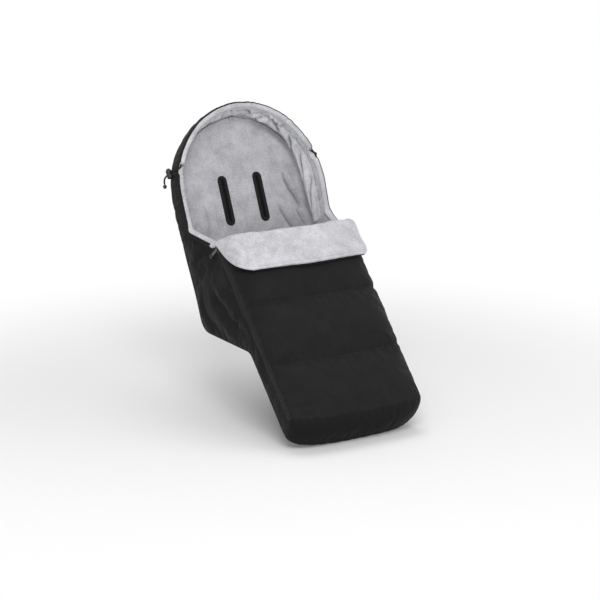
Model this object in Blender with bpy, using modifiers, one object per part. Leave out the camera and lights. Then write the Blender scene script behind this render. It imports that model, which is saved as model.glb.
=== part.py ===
"""Padded footmuff for a child's stroller seat, in the shape it takes on the seat.

Metres, +Z up, feet towards -Y. The origin is in the middle of the seat section's underside.
A padded back panel follows the seat: leg section, knee bend, seat, crease and back. A padded wall
stands on its edge: a foot end, a side on either hand, and a hood round the head. A quilted cover
closes the front with a straight zip down each side and hinges on the foot seam. Its top edge turns
down as a collar. A drawcord with two cord locks gathers the hood's rim.
"""
import math

import bmesh
import bpy
from mathutils import Matrix, Vector

# Shape on the seat
seat_length = 0.210
leg_length = 0.247
head_top = 0.466
recline = math.radians(24)
leg_drop = math.radians(46)
knee_radius = 0.030
crease_radius = 0.045

# Layers of cloth and padding
shell_thickness = 0.0015
lining_thickness = 0.0048
panel_wadding = 0.0115
wall_wadding = 0.0062
cover_wadding = 0.0062
collar_wadding = 0.0062
layer_gap = 0.0004
seam_gap = 0.0005
lining_crown = 0.0030

# Outline of the wall's lower edge, seen square to the panel
leg_half = 0.1640
head_half = 0.1690
head_arch_base = 0.300
widening_start = 0.060
foot_corner_power = 3.0
wall_lift = 0.0005

# Rim of the hood, and the fullness of the wall
rim_half = 0.190
rim_top = 0.497
rim_side_height = 0.070
rim_top_height = 0.080
rim_end = 0.215
rim_end_half = 0.187
rim_end_height = 0.066
hood_seam = 0.200
leg_belly = 0.0070
head_belly = 0.0120
foot_belly = 0.0080
foot_fullness_shares = (0.25, 0.72)

# Zips
zip_top_y = 0.037
zip_top_z = 0.212
zip_drop = math.radians(45.7)
zip_half = 0.1645
zip_strip = 0.018
tape_thickness = 0.0010
bead_width = 0.0024
bead_thickness = 0.0026
bead_parting = 0.0016
zip_end_margin = 0.0020
zip_foot_reach = 0.0479
side_top_half = 0.1655

# Cover
cover_half = 0.1660
cover_power = 2.6
cover_crown = 0.058
cover_crown_shares = ((0.0, 0.93), (0.20, 1.0), (0.365, 0.87), (0.53, 0.82), (0.695, 0.58),
                      (0.85, 0.45), (1.0, 0.31))
quilt_line_shares = (0.365, 0.695)
quilt_width_share = 0.020
quilt_depth = 0.0042
cover_top_side = 0.012
cover_top_middle = 0.031
cover_end_droop = 0.016

# Collar, turned down over the cover
collar_length = 0.087
collar_cover_share = 0.21
collar_reach_share = 0.92
collar_corner_share = 0.150
collar_lift = 0.008
collar_seat = 0.0012

# Slots for the harness
shoulder_slot_x = 0.046
shoulder_slot_back = 0.285
shoulder_slot_length = 0.110
waist_slot_x = 0.098
waist_slot_back = 0.080
waist_slot_length = 0.060
crotch_slot_y = -0.045
crotch_slot_length = 0.060
slot_width = 0.016
binding_thickness = 0.0012
binding_lip = 0.0050
binding_recess = 0.0001
fit_gap = 0.0003

# Hood rim: channel, drawcord, eyelets
channel_radius = 0.0055
cord_radius = 0.0020
cord_clearance = 0.0005
channel_end = 0.370
binding_start = 0.351
eyelet_radius = 0.0048
eyelet_thickness = 0.0018
cord_bend = 0.0178
cord_bend_shares = ((0.167, 0.0, 0.0), (0.392, 0.074, 0.013), (0.60, 0.245, 0.064),
                    (0.77, 0.50, 0.216), (0.91, 0.76, 0.469), (1.0, 0.88, 0.792))
cord_run_length = 0.0340
cord_run_shares = (0.0, -0.16, -0.98)
cord_tail_length = 0.0145
cord_tail_shares = ((0.04, -0.22, -0.34), (0.055, -0.59, -0.52), (0.055, -1.0, -0.59))

# Cord locks
lock_start = 0.0110
lock_radius = 0.0068
lock_length = 0.0190
lock_wall = 0.0018
lock_cord_share = 0.40
button_web = 0.0012
button_travel = 0.0030
button_cord_clearance = 0.0006
spring_wall = 0.0009
cord_end_radius = 0.0042
cord_end_length = 0.0090

# Zip sliders and pulls
slider_length = 0.0160
slider_half_width = 0.0046
slider_plate = 0.0012
slider_clearance = 0.0003
slider_lip = 0.0007
slider_start = 0.0110
bridge_radius = 0.0008
bridge_stand_off = 0.0028
bridge_half_length = 0.0042
pull_length = 0.0300
pull_width = 0.0070
pull_thickness = 0.0016
pull_eye_wall = 0.0011
pull_eye_clearance = 0.0005
pull_eye_width = 0.0050
pull_window_length = 0.0090
pull_tilt = math.radians(8)

# Pocket behind the head, that hooks over the backrest
pocket_arch = math.radians(80)
pocket_bottom = 0.352
pocket_inset = 0.010
pocket_thickness = 0.0013
pocket_fullness = 0.022
hem_radius = 0.0022

# Rows and columns of points, and the weld of coincident ones
panel_columns = 8
wall_rows = 4
hood_straight_steps = 3
hood_arch_steps = 14
cover_columns = 12
foot_columns = 14
pocket_columns = 8
pocket_rows = 5
channel_steps = 26
weld_distance = 0.00001

# Colours
BLACK_CLOTH = (0.018, 0.018, 0.020)
BLACK_WIPE_CLEAN = (0.012, 0.012, 0.013)
GREY_PLUSH = (0.58, 0.58, 0.61)
WHITE_WADDING = (0.80, 0.80, 0.79)
BLACK_TAPE = (0.014, 0.014, 0.015)
BLACK_PLASTIC = (0.020, 0.020, 0.022)
GREY_METAL = (0.30, 0.30, 0.31)
SPRING_STEEL = (0.55, 0.55, 0.56)

# Worked out from the sizes above
wall_total = shell_thickness + wall_wadding + lining_thickness + 2 * layer_gap
panel_total = shell_thickness + panel_wadding + lining_thickness + 2 * layer_gap
panel_inset = wall_total + 2 * seam_gap
back_lean = math.pi / 2 - recline
knee_tangent = knee_radius * math.tan(leg_drop / 2)
crease_tangent = crease_radius * math.tan(back_lean / 2)
knee_start = leg_length - knee_tangent
knee_end = knee_start + knee_radius * leg_drop
crease_start = knee_end + seat_length - knee_tangent - crease_tangent
crease_end = crease_start + crease_radius * back_lean
strip_edge = zip_strip / 2


def remove_everything():
    for thing in list(bpy.data.objects):
        bpy.data.objects.remove(thing, do_unlink=True)


remove_everything()
parts = bpy.data.collections.new("footmuff")
guides = bpy.data.collections.new("cutters")
bpy.context.scene.collection.children.link(parts)
bpy.context.scene.collection.children.link(guides)


def make_material(name, colour, roughness, metallic=0.0):
    material = bpy.data.materials.new(name)
    material.use_nodes = True
    principled = material.node_tree.nodes["Principled BSDF"]
    principled.inputs["Base Color"].default_value = (*colour, 1.0)
    principled.inputs["Roughness"].default_value = roughness
    principled.inputs["Metallic"].default_value = metallic
    material.diffuse_color = (*colour, 1.0)
    return material


# Places: distance along the panel, across it and off it

def back_distance(length):
    """Distance along the panel of a point that lies this far up the back from the crease's corner."""
    return crease_end + length - crease_tangent


def panel_point(x, along, off):
    """Point off the panel's underside, by its distance along the seated profile from the foot."""
    heading = leg_drop
    knee = Vector((-seat_length / 2, 0))
    place = knee - Vector((math.cos(heading), math.sin(heading))) * leg_length
    left = along
    for span, turn in ((knee_start, 0), (knee_end - knee_start, -leg_drop),
                       (crease_start - knee_end, 0), (crease_end - crease_start, back_lean),
                       (math.inf, 0)):
        step = min(left, span)
        if turn:
            radius = span / turn
            centre = place + Vector((-math.sin(heading), math.cos(heading))) * radius
            heading += step / radius
            place = centre - Vector((-math.sin(heading), math.cos(heading))) * radius
        else:
            place = place + Vector((math.cos(heading), math.sin(heading))) * step
        left -= step
        if left <= 0:
            break
    y, z = place + Vector((-math.sin(heading), math.cos(heading))) * off
    return Vector((x, y, z))


back_frame = Matrix.Translation((0, seat_length / 2, 0)) @ Matrix.Rotation(back_lean, 4, "X")
leg_frame = (Matrix.Translation((0, -seat_length / 2, 0)) @ Matrix.Rotation(leg_drop, 4, "X")
             @ Matrix.Translation((0, -leg_length, 0)))
zip_frame = (Matrix.Translation((0, zip_top_y, zip_top_z))
             @ Matrix(((1, 0, 0, 0),
                       (0, -math.sin(zip_drop), -math.cos(zip_drop), 0),
                       (0, math.cos(zip_drop), -math.sin(zip_drop), 0),
                       (0, 0, 0, 1))))


def back_point(x, up, off):
    """Point by its distance up the back from the crease's corner, and off the panel's underside."""
    return back_frame @ Vector((x, up, off))


def zip_point(x, rise, down):
    """Point by its rise off the line of the zips and its distance down that line."""
    return zip_frame @ Vector((x, rise, down))


foot_down = (zip_frame.inverted() @ panel_point(0, 0, 0)).z
leg_slope = math.cos(leg_drop - zip_drop)
zip_length = foot_down - zip_foot_reach * leg_slope


def leg_distance_at(down):
    """Distance along the leg section where its underside lies square below this point of the zip."""
    return (foot_down - down) / leg_slope


foot_reach = leg_distance_at(zip_length)
neck_distance = back_distance(hood_seam)
zip_top_distance = back_distance(widening_start + crease_tangent)


def smooth(value):
    value = min(max(value, 0.0), 1.0)
    return value * value * (3 - 2 * value)


def table_value(table, share):
    """Smooth value between the rows of a table of shares."""
    for (low, first), (high, second) in zip(table, table[1:]):
        if share <= high:
            return first + (second - first) * smooth((share - low) / (high - low))
    return table[-1][1]


def signed_power(value, power):
    return math.copysign(abs(value) ** power, value)


def wall_half(along, inset=0.0):
    """Half width of the wall's lower edge between its rounded ends."""
    start = back_distance(widening_start)
    share = smooth((along - start) / (neck_distance - start))
    return leg_half + (head_half - leg_half) * share - inset


# Soft layers: two sheets of one grid, joined round their edge

def add_object(name, mesh, material, collection=None):
    thing = bpy.data.objects.new(name, mesh)
    (collection or parts).objects.link(thing)
    if material:
        mesh.materials.append(material)
    return thing


def smooth_shading(mesh, angle=math.radians(40)):
    mesh.shade_smooth()
    mesh.set_sharp_from_angle(angle=angle)


def make_layer(name, outer, inner, material):
    """Closed layer between two grids of points with the same rows and columns."""
    rows, columns = len(outer) - 1, len(outer[0]) - 1
    bm = bmesh.new()
    sheets = []
    for points in (outer, inner):
        made = bmesh.ops.create_grid(bm, x_segments=rows, y_segments=columns, size=1)
        verts = sorted(made["verts"], key=lambda v: (round(v.co.x, 5), round(v.co.y, 5)))
        faces = list({face for vert in verts for face in vert.link_faces})
        for vert, point in zip(verts, [p for row in points for p in row]):
            vert.co = point
        bmesh.ops.triangulate(bm, faces=faces, quad_method="FIXED")
        sheets.append(verts)
    edge = [(i, 0) for i in range(rows)] + [(rows, j) for j in range(columns)]
    edge += [(i, columns) for i in range(rows, 0, -1)] + [(0, j) for j in range(columns, 0, -1)]
    ring = [i * (columns + 1) + j for i, j in edge]
    for here, there in zip(ring, ring[1:] + ring[:1]):
        bm.faces.new((sheets[0][here], sheets[0][there], sheets[1][there], sheets[1][here]))
    bmesh.ops.recalc_face_normals(bm, faces=bm.faces)
    mesh = bpy.data.meshes.new(name)
    bm.to_mesh(mesh)
    bm.free()
    smooth_shading(mesh)
    return add_object(name, mesh, material)


def stack_depths(wadding):
    """Depths of a stack's faces from the outside: shell, wadding, lining."""
    first = shell_thickness
    second = first + layer_gap + wadding
    third = second + layer_gap + lining_thickness
    return (0.0, first), (first + layer_gap, second), (second + layer_gap, third)


def layer_stack(names, grid, wadding, materials):
    """The three layers of one padded piece. grid(depth) gives the points at that depth."""
    made = []
    for name, (outside, inside), material in zip(names, stack_depths(wadding), materials):
        made.append(make_layer(name, grid(outside), grid(inside), material))
    return made


black_cloth = make_material("black cloth", BLACK_CLOTH, 0.85)
wipe_clean = make_material("black wipe clean cloth", BLACK_WIPE_CLEAN, 0.6)
grey_plush = make_material("grey plush", GREY_PLUSH, 0.95)
white_wadding = make_material("white wadding", WHITE_WADDING, 0.95)
black_tape = make_material("black zip tape", BLACK_TAPE, 0.8)
black_plastic = make_material("black plastic", BLACK_PLASTIC, 0.45)
grey_metal = make_material("grey metal", GREY_METAL, 0.35, 1.0)
spring_steel = make_material("spring steel", SPRING_STEEL, 0.3, 1.0)
soft_stack = (black_cloth, white_wadding, grey_plush)

# Back panel

foot_row_angles = [math.radians(a) for a in (16, 38, 62, 90)]
head_last_row_share = 0.75


def spread(start, end, count):
    return [start + (end - start) * i / count for i in range(1, count + 1)]


def panel_rows():
    """Distance along the panel and half width of each row of points, from foot to head."""
    rows = []
    for angle in foot_row_angles:
        reach = (foot_reach - panel_inset) * math.cos(angle) ** (2 / foot_corner_power)
        half = wall_half(0, panel_inset) * math.sin(angle) ** (2 / foot_corner_power)
        rows.append((foot_reach - reach, half))
    middle = spread(foot_reach, knee_start, 2) + spread(knee_start, knee_end, 3)
    middle += spread(knee_end, crease_start, 2) + spread(crease_start, crease_end, 4)
    middle += spread(crease_end, back_distance(head_arch_base), 4)[:-1]
    rows += [(along, wall_half(along, panel_inset)) for along in middle]
    reach, half = head_top - head_arch_base - panel_inset, head_half - panel_inset
    arch = [math.pi * i / hood_arch_steps for i in range(hood_arch_steps // 2)]
    head = [(reach * math.sin(angle), half * math.cos(angle)) for angle in arch]
    rise, narrow = head[-1]
    head.append((rise + (reach - rise) * head_last_row_share, narrow * (1 - head_last_row_share)))
    return rows + [(back_distance(head_arch_base) + up, wide) for up, wide in head]


def panel_grid(depth):
    """Points at a height off the underside. Above the shell the padding is crowned."""
    crown = lining_crown if depth > shell_thickness + 2 * layer_gap else 0.0
    points = []
    for along, half in panel_rows():
        row = []
        for j in range(panel_columns + 1):
            share = 2 * j / panel_columns - 1
            lift = crown * (1 - share ** 4)
            row.append(panel_point(half * share, along, depth + lift))
        points.append(row)
    return points


back_shell, back_wadding, back_lining = layer_stack(
    ("back_shell", "back_wadding", "back_lining"), panel_grid, panel_wadding, soft_stack)


# Slots for the harness, and the binding round each

def flat_outline_object(name, outline, thickness, material, collection=None, holes=()):
    """Solid plate of a flat outline in its local XY plane, centred on Z."""
    curve = bpy.data.curves.new(name, "CURVE")
    curve.dimensions = "2D"
    curve.fill_mode = "BOTH"
    curve.extrude = thickness / 2
    for points in (outline, *holes):
        spline = curve.splines.new("POLY")
        spline.points.add(len(points) - 1)
        for point, (x, y) in zip(spline.points, points):
            point.co = (x, y, 0, 1)
        spline.use_cyclic_u = True
    thing = bpy.data.objects.new(name, curve)
    guides.objects.link(thing)
    mesh = curve_to_mesh(thing, name)
    return add_object(name, mesh, material, collection)


def curve_to_mesh(thing, name):
    """Welded mesh of a curve object, which is removed."""
    bpy.context.view_layer.update()
    seen = thing.evaluated_get(bpy.context.evaluated_depsgraph_get())
    mesh = bpy.data.meshes.new_from_object(seen)
    mesh.name = name
    bm = bmesh.new()
    bm.from_mesh(mesh)
    bmesh.ops.remove_doubles(bm, verts=bm.verts, dist=weld_distance)
    bmesh.ops.recalc_face_normals(bm, faces=bm.faces)
    bm.to_mesh(mesh)
    bm.free()
    bpy.data.objects.remove(thing, do_unlink=True)
    return mesh


def stadium(length, width, steps=4):
    """Outline with round ends, its long side along Y."""
    radius = width / 2
    straight = length / 2 - radius
    points = []
    for end, start in ((1, 0.0), (-1, math.pi)):
        for i in range(steps + 1):
            angle = start + math.pi * i / steps
            points.append((radius * math.cos(angle), end * straight + radius * math.sin(angle)))
    return points


def cut(target, cutter):
    cutter.hide_render = True
    cutter.display_type = "WIRE"
    modifier = target.modifiers.new("cut " + cutter.name, "BOOLEAN")
    modifier.operation = "DIFFERENCE"
    modifier.solver = "EXACT"
    modifier.object = cutter


def join(target, other):
    """Fuse another body of the same piece into this one."""
    guides.objects.link(other)
    parts.objects.unlink(other)
    other.hide_render = True
    other.display_type = "WIRE"
    modifier = target.modifiers.new("join " + other.name, "BOOLEAN")
    modifier.operation = "UNION"
    modifier.solver = "EXACT"
    modifier.object = other


slots = {
    "shoulder_slot_left": (back_frame, -shoulder_slot_x, shoulder_slot_back, shoulder_slot_length),
    "shoulder_slot_right": (back_frame, shoulder_slot_x, shoulder_slot_back, shoulder_slot_length),
    "waist_slot_left": (back_frame, -waist_slot_x, waist_slot_back, waist_slot_length),
    "waist_slot_right": (back_frame, waist_slot_x, waist_slot_back, waist_slot_length),
    "crotch_slot": (Matrix.Identity(4), 0.0, crotch_slot_y, crotch_slot_length),
}


def binding_height(x):
    """Height over the lining at the slot's side that is nearer the panel's middle."""
    nearest = max(abs(x) - slot_width / 2, 0)
    return panel_total + lining_crown * (1 - (nearest / leg_half) ** 4)


def make_slot(name, frame, x, along, length):
    """Cut one slot through the panel and bind its edge with a folded tape, flush underneath."""
    top = binding_height(x)
    middle = frame @ Matrix.Translation((x, along, 0))
    for layers, lip in (((back_wadding, back_lining), 0.0), ((back_shell,), binding_lip)):
        wider = 2 * (binding_thickness + lip + fit_gap)
        cutter = flat_outline_object(f"{name}_cutter_{layers[0].name}",
                                     stadium(length + wider, slot_width + wider), 3 * top, None,
                                     guides)
        cutter.matrix_world = middle
        for layer in layers:
            cut(layer, cutter)
    sleeve_outer = stadium(length + 2 * binding_thickness, slot_width + 2 * binding_thickness)
    lip_outer = stadium(length + 2 * (binding_thickness + binding_lip),
                        slot_width + 2 * (binding_thickness + binding_lip))
    opening = stadium(length, slot_width)
    low, high = binding_recess, top + fit_gap + binding_thickness
    binding = loft_rings(name + "_binding", [
        (opening, low), (lip_outer, low),
        (lip_outer, low + binding_thickness), (sleeve_outer, low + binding_thickness),
        (sleeve_outer, high - binding_thickness), (lip_outer, high - binding_thickness),
        (lip_outer, high), (opening, high)], black_tape)
    binding.matrix_world = middle
    return binding


def loft_rings(name, rings, material):
    """Closed ring-shaped body lofted through outlines with equal counts of points."""
    bm = bmesh.new()
    loops = []
    for outline, height in rings:
        loops.append([bm.verts.new((x, y, height)) for x, y in outline])
    count = len(loops[0])
    for first, second in zip(loops, loops[1:] + loops[:1]):
        for i in range(count):
            j = (i + 1) % count
            bm.faces.new((first[i], first[j], second[j], second[i]))
    bmesh.ops.recalc_face_normals(bm, faces=bm.faces)
    mesh = bpy.data.meshes.new(name)
    bm.to_mesh(mesh)
    bm.free()
    smooth_shading(mesh)
    return add_object(name, mesh, material)


for slot_name, slot_values in slots.items():
    make_slot(slot_name, *slot_values)


# Wall: its lower edge, its upper edge and the fullness between

def bulged(lower, upper, outward, belly, shares=(0.5, 0.5)):
    """Points of one upright of the wall, as a curve pulled outward by its belly.

    The shares say how far the pulling point has gone from the lower edge to the upper one,
    along the panel's plane and off it.
    """
    middle = lower + (upper - lower) * shares[0]
    middle.z = lower.z + (upper.z - lower.z) * shares[1]
    pull = middle + outward * belly
    points = []
    for i in range(wall_rows + 1):
        v = i / wall_rows
        points.append(lower * (1 - v) ** 2 + pull * 2 * v * (1 - v) + upper * v ** 2)
    return points


def side_stations():
    """Distances along the panel of the side's uprights, from the foot to the hood's seam."""
    start = leg_distance_at(zip_length - seam_gap / 2)
    stations = [start] + spread(foot_reach, knee_start, 3) + spread(knee_start, knee_end, 2)
    stations += spread(knee_end, crease_start, 3) + spread(crease_start, crease_end, 3)
    stations += spread(crease_end, zip_top_distance, 1)
    return stations + spread(zip_top_distance, neck_distance - seam_gap / 2, 3)


def zip_distance(along):
    """Distance down the zip that belongs to a station between the foot and the zip's top."""
    knee = (knee_start + knee_end) / 2
    knee_down = (zip_frame.inverted() @ panel_point(0, knee, 0)).z
    if along < knee:
        share = (along - foot_reach) / (knee - foot_reach)
        return zip_length - seam_gap / 2 + (knee_down - zip_length) * max(share, 0)
    share = (along - knee) / (zip_top_distance - knee)
    return knee_down * (1 - share)


def side_upright(along, side, depth):
    """Points of the side wall's upright at one station."""
    lower = panel_point(side * wall_half(along, depth), along, wall_lift)
    top = zip_point(side * (side_top_half - depth), -strip_edge - fit_gap, 0)
    share = 0.0
    if along <= zip_top_distance:
        upper = zip_point(side * (side_top_half - depth), -strip_edge - fit_gap,
                          zip_distance(along))
    else:
        share = (along - zip_top_distance) / (neck_distance - zip_top_distance)
        end = back_point(side * (rim_end_half - depth), rim_end, rim_end_height)
        upper = top.lerp(end, share)
    belly = leg_belly + (head_belly - leg_belly) * smooth(along / neck_distance * share ** 0.5)
    return bulged(lower, upper, Vector((side, 0, 0)), belly)


def make_side(side, word):
    def grid(depth):
        return [side_upright(along, side, depth) for along in side_stations()]
    names = (f"side_shell_{word}", f"side_wadding_{word}", f"side_lining_{word}")
    return layer_stack(names, grid, wall_wadding, soft_stack)


make_side(-1, "left")
make_side(1, "right")

# Hood

def hood_curve(share, half, base_half, start, top, depth):
    """Place across and up the back along one edge of the hood. share runs 0 to 1, right to left."""
    straight = hood_straight_steps / (2 * hood_straight_steps + hood_arch_steps)
    if share < straight or share > 1 - straight:
        way = share / straight if share < straight else (1 - share) / straight
        side = 1 if share < straight else -1
        across = base_half + (half - base_half) * math.sin(way * math.pi / 2)
        return side * (across - depth), start + (head_arch_base - start) * way
    angle = math.pi * (share - straight) / (1 - 2 * straight)
    return ((half - depth) * math.cos(angle),
            head_arch_base + (top - depth - head_arch_base) * math.sin(angle))


def hood_rim_point(share, depth, lift=0.0):
    x, up = hood_curve(share, rim_half, rim_end_half, rim_end + seam_gap, rim_top, depth)
    straight = hood_straight_steps / (2 * hood_straight_steps + hood_arch_steps)
    if share < straight or share > 1 - straight:
        way = min(share, 1 - share) / straight
        height = rim_end_height + (rim_side_height - rim_end_height) * way
    else:
        angle = math.pi * (share - straight) / (1 - 2 * straight)
        height = rim_side_height + (rim_top_height - rim_side_height) * math.sin(angle) ** 2
    return Vector((x, up, height + lift))


def hood_upright(share, depth):
    edge_half = wall_half(neck_distance)
    x, up = hood_curve(share, head_half, edge_half, hood_seam + seam_gap / 2, head_top, depth)
    lower = Vector((x, up, wall_lift))
    upper = hood_rim_point(share, depth)
    outward = Vector((upper.x, max(upper.y - head_arch_base, 0), 0)).normalized()
    return [back_frame @ p for p in bulged(lower, upper, outward, head_belly)]


def hood_grid(depth):
    steps = 2 * hood_straight_steps + hood_arch_steps
    return [hood_upright(i / steps, depth) for i in range(steps + 1)]


layer_stack(("hood_shell", "hood_wadding", "hood_lining"), hood_grid, wall_wadding, soft_stack)

# Cover

cover_row_shares = (0.0, 0.10, 0.19, 0.28, 0.345, 0.365, 0.385, 0.46, 0.53, 0.61, 0.675, 0.695,
                    0.715, 0.79, 0.86, 0.935, 1.0)


def cover_ends(across):
    """Distances down the zip of the cover's top edge and foot edge at a share of its half width."""
    top = cover_top_middle + (cover_top_side - cover_top_middle) * abs(across) ** 2.5
    end = zip_length + cover_end_droop * (1 - abs(across) ** 4)
    return top, end


def quilt_groove(share):
    """Depth of the stitched lines at a share of the cover's length."""
    nearest = min(abs(share - line) for line in quilt_line_shares)
    return quilt_depth * (1 - smooth(nearest / quilt_width_share))


def cover_place(across, share, depth, grooved=False, down_shift=0.0):
    """Point of the cover by its share across, its share of the length and its depth inside."""
    angle = across * math.pi / 2
    wide = signed_power(math.sin(angle), 2 / cover_power)
    high = abs(math.cos(angle)) ** (2 / cover_power) if abs(across) < 1 else 0.0
    top, end = cover_ends(wide)
    crown = cover_crown * table_value(cover_crown_shares, min(max(share, 0), 1))
    if grooved:
        crown -= quilt_groove(share)
    return zip_point((cover_half - depth) * wide, strip_edge + fit_gap + (crown - depth) * high,
                     top + (end - top) * share + down_shift)


def make_cover():
    def grid(depth, grooved):
        return [[cover_place(2 * j / cover_columns - 1, share, depth, grooved)
                 for j in range(cover_columns + 1)] for share in cover_row_shares]
    shell, wadding, lining = stack_depths(cover_wadding)
    return [make_layer("cover_shell", grid(shell[0], True), grid(shell[1], True), black_cloth),
            make_layer("cover_wadding", grid(wadding[0], True), grid(wadding[1], False),
                       white_wadding),
            make_layer("cover_lining", grid(lining[0], False), grid(lining[1], False), grey_plush)]


cover_pieces = make_cover()

# Foot end

def foot_upright(across, depth):
    """Points of one upright of the foot end, from the panel's edge to the cover's foot seam."""
    angle = across * math.pi / 2
    wide = signed_power(math.sin(angle), 2 / foot_corner_power)
    deep = abs(math.cos(angle)) ** (2 / foot_corner_power) if abs(across) < 1 else 0.0
    reach = leg_distance_at(zip_length + seam_gap / 2)
    lower = Vector(((leg_half - depth) * wide, reach - (reach - depth) * deep, wall_lift))
    upper = leg_frame.inverted() @ cover_place(across, 1.0, depth, down_shift=seam_gap)
    outward = Vector((wide, -deep, 0)).normalized()
    if abs(across) == 1:
        outward = Vector((across, 0, 0))
    return [leg_frame @ p for p in bulged(lower, upper, outward, foot_belly,
                                          foot_fullness_shares)]


def foot_grid(depth):
    return [foot_upright(2 * i / foot_columns - 1, depth) for i in range(foot_columns + 1)]


layer_stack(("foot_shell", "foot_wadding", "foot_lining"), foot_grid, wall_wadding,
            (wipe_clean, white_wadding, grey_plush))

# Collar

collar_turn_angles = [math.radians(a) for a in (-90, -45, 0, 45, 90)]
collar_flap_shares = (0.25, 0.5, 0.75, 1.0)


def collar_columns(share):
    """Shares across of one row: the cover's own, and the two ends, rounded at the free edge."""
    shared = [2 * j / cover_columns - 1 for j in range(cover_columns + 1)]
    inside = [across for across in shared if abs(across) < collar_reach_share]
    reach = collar_reach_share - collar_corner_share * share ** 2
    return [-reach, *inside, reach]


def collar_grid(radius):
    """Points at a distance from the collar's fold, round the cover's top edge and over it."""
    points = []
    places = [(-radius * math.cos(a), radius * math.sin(a), 0.0) for a in collar_turn_angles]
    places += [(collar_length * share, radius, share) for share in collar_flap_shares]
    for down, rise, share in places:
        row = []
        for across in collar_columns(share):
            stand = collar_lift * share ** 2 * (1 - abs(across) ** 3)
            shift = down - collar_drop(across, share) - fit_gap
            row.append(cover_place(across, share * collar_cover_share,
                                   -(rise + stand + collar_seat), down_shift=shift))
        points.append(row)
    return points


def collar_drop(across, share):
    """Distance that the share of the cover's length already moves a point down."""
    wide = signed_power(math.sin(across * math.pi / 2), 2 / cover_power)
    top, end = cover_ends(wide)
    return (end - top) * share * collar_cover_share


def make_collar():
    """The lining is outermost, because the collar is turned over."""
    shell, wadding, lining = stack_depths(collar_wadding)
    made = []
    for name, (inner, outer), material in (("collar_shell", shell, black_cloth),
                                           ("collar_wadding", wadding, white_wadding),
                                           ("collar_lining", lining, grey_plush)):
        made.append(make_layer(name, collar_grid(fit_gap + outer), collar_grid(fit_gap + inner),
                               material))
    return made


collar_pieces = make_collar()

# Zips: a tape with a bead along its edge, on the side wall and on the cover


def make_zip_chain(name, side, rise_sign):
    """Tape and bead of one half of a zip. rise_sign is 1 on the cover and -1 on the side."""
    bead_near = bead_parting / 2
    bead_far = bead_near + bead_width
    half_tape = tape_thickness / 2
    half_bead = bead_thickness / 2
    chamfer = bead_width / 4
    outline = [(half_tape, strip_edge), (half_tape, bead_far), (half_bead - chamfer, bead_far),
               (half_bead, bead_far - chamfer), (half_bead, bead_near + chamfer),
               (half_bead - chamfer, bead_near), (chamfer - half_bead, bead_near),
               (-half_bead, bead_near + chamfer), (-half_bead, bead_far - chamfer),
               (chamfer - half_bead, bead_far), (-half_tape, bead_far), (-half_tape, strip_edge)]
    outline = [(x, y * rise_sign) for x, y in outline]
    length = zip_length - 2 * zip_end_margin
    chain = flat_outline_object(name, outline, length, black_tape)
    chain.matrix_world = zip_frame @ Matrix.Translation((side * zip_half, 0, zip_length / 2))
    return chain


for side, word in ((-1, "left"), (1, "right")):
    make_zip_chain(f"side_zip_{word}", side, -1)
    cover_pieces.append(make_zip_chain(f"cover_zip_{word}", side, 1))


# Hood rim: channel, bindings, drawcord

def tube_object(name, points, radius, material, sides=2, collection=None):
    """Round tube with closed ends along a list of points."""
    curve = bpy.data.curves.new(name, "CURVE")
    curve.dimensions = "3D"
    curve.bevel_depth = radius
    curve.bevel_resolution = sides
    curve.use_fill_caps = True
    curve.twist_mode = "MINIMUM"
    spline = curve.splines.new("POLY")
    spline.points.add(len(points) - 1)
    for point, place in zip(spline.points, points):
        point.co = (*place, 1)
    thing = bpy.data.objects.new(name, curve)
    guides.objects.link(thing)
    mesh = curve_to_mesh(thing, name)
    smooth_shading(mesh)
    return add_object(name, mesh, material, collection)


rim_depth = wall_total / 2
channel_lift = channel_radius + fit_gap


def arch_share_at(up):
    """Share along the hood's arch for a distance up the back."""
    straight = hood_straight_steps / (2 * hood_straight_steps + hood_arch_steps)
    rise = (up - head_arch_base) / (rim_top - rim_depth - head_arch_base)
    return straight + (1 - 2 * straight) * math.asin(rise) / math.pi


channel_share = arch_share_at(channel_end)
binding_share = arch_share_at(binding_start)


def rim_line(start, end, steps, lift=channel_lift):
    """Points along the rim, in the frame of the back."""
    return [hood_rim_point(start + (end - start) * i / steps, rim_depth, lift)
            for i in range(steps + 1)]


def make_channel():
    line = rim_line(channel_share, 1 - channel_share, channel_steps)
    channel = tube_object("hood_channel", line, channel_radius, grey_plush)
    channel.matrix_world = back_frame
    first, last = line[0] - line[1], line[-1] - line[-2]
    longer = [line[0] + first, *line[1:-1], line[-1] + last]
    longer[1:1] = [line[0]]
    longer[-1:-1] = [line[-1]]
    bore = tube_object("channel_bore", longer, cord_radius + cord_clearance, None, 1, guides)
    bore.matrix_world = back_frame
    cut(channel, bore)
    return line


channel_line = make_channel()


def neck_line():
    """Points along the side's free edge on the right, from the zip to the rim's corner."""
    to_back = back_frame.inverted()
    start = to_back @ side_upright(zip_top_distance, 1, rim_depth)[-1]
    corner = Vector((rim_end_half - rim_depth, rim_end, rim_end_height))
    along = (corner - start).normalized()
    off = Vector((0, 0, 1))
    rise = (off - along * along.z).normalized()
    mitre = (rise + off) / (1 + rise.dot(off))
    return [start + rise * channel_lift, corner + mitre * channel_lift]


def make_rim_binding(side, word):
    """Turned edge of the lining along the neck and up the lower part of the hood's rim."""
    line = neck_line() + rim_line(0.0, binding_share, 6)[1:]
    binding = tube_object(f"rim_binding_{word}", line if side > 0 else mirrored(line),
                          channel_radius, grey_plush)
    binding.matrix_world = back_frame


def mirrored(points):
    return [Vector((-p.x, p.y, p.z)) for p in points]


make_rim_binding(-1, "left")
make_rim_binding(1, "right")

# Drawcord: through the channel, out of each end over the hood, and down to its cord end

channel_out = (channel_line[0] - channel_line[1]).normalized()
cord_outward = Vector((-channel_out.y, channel_out.x, 0)).normalized()
cord_run_direction = Vector(cord_run_shares).normalized()


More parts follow.
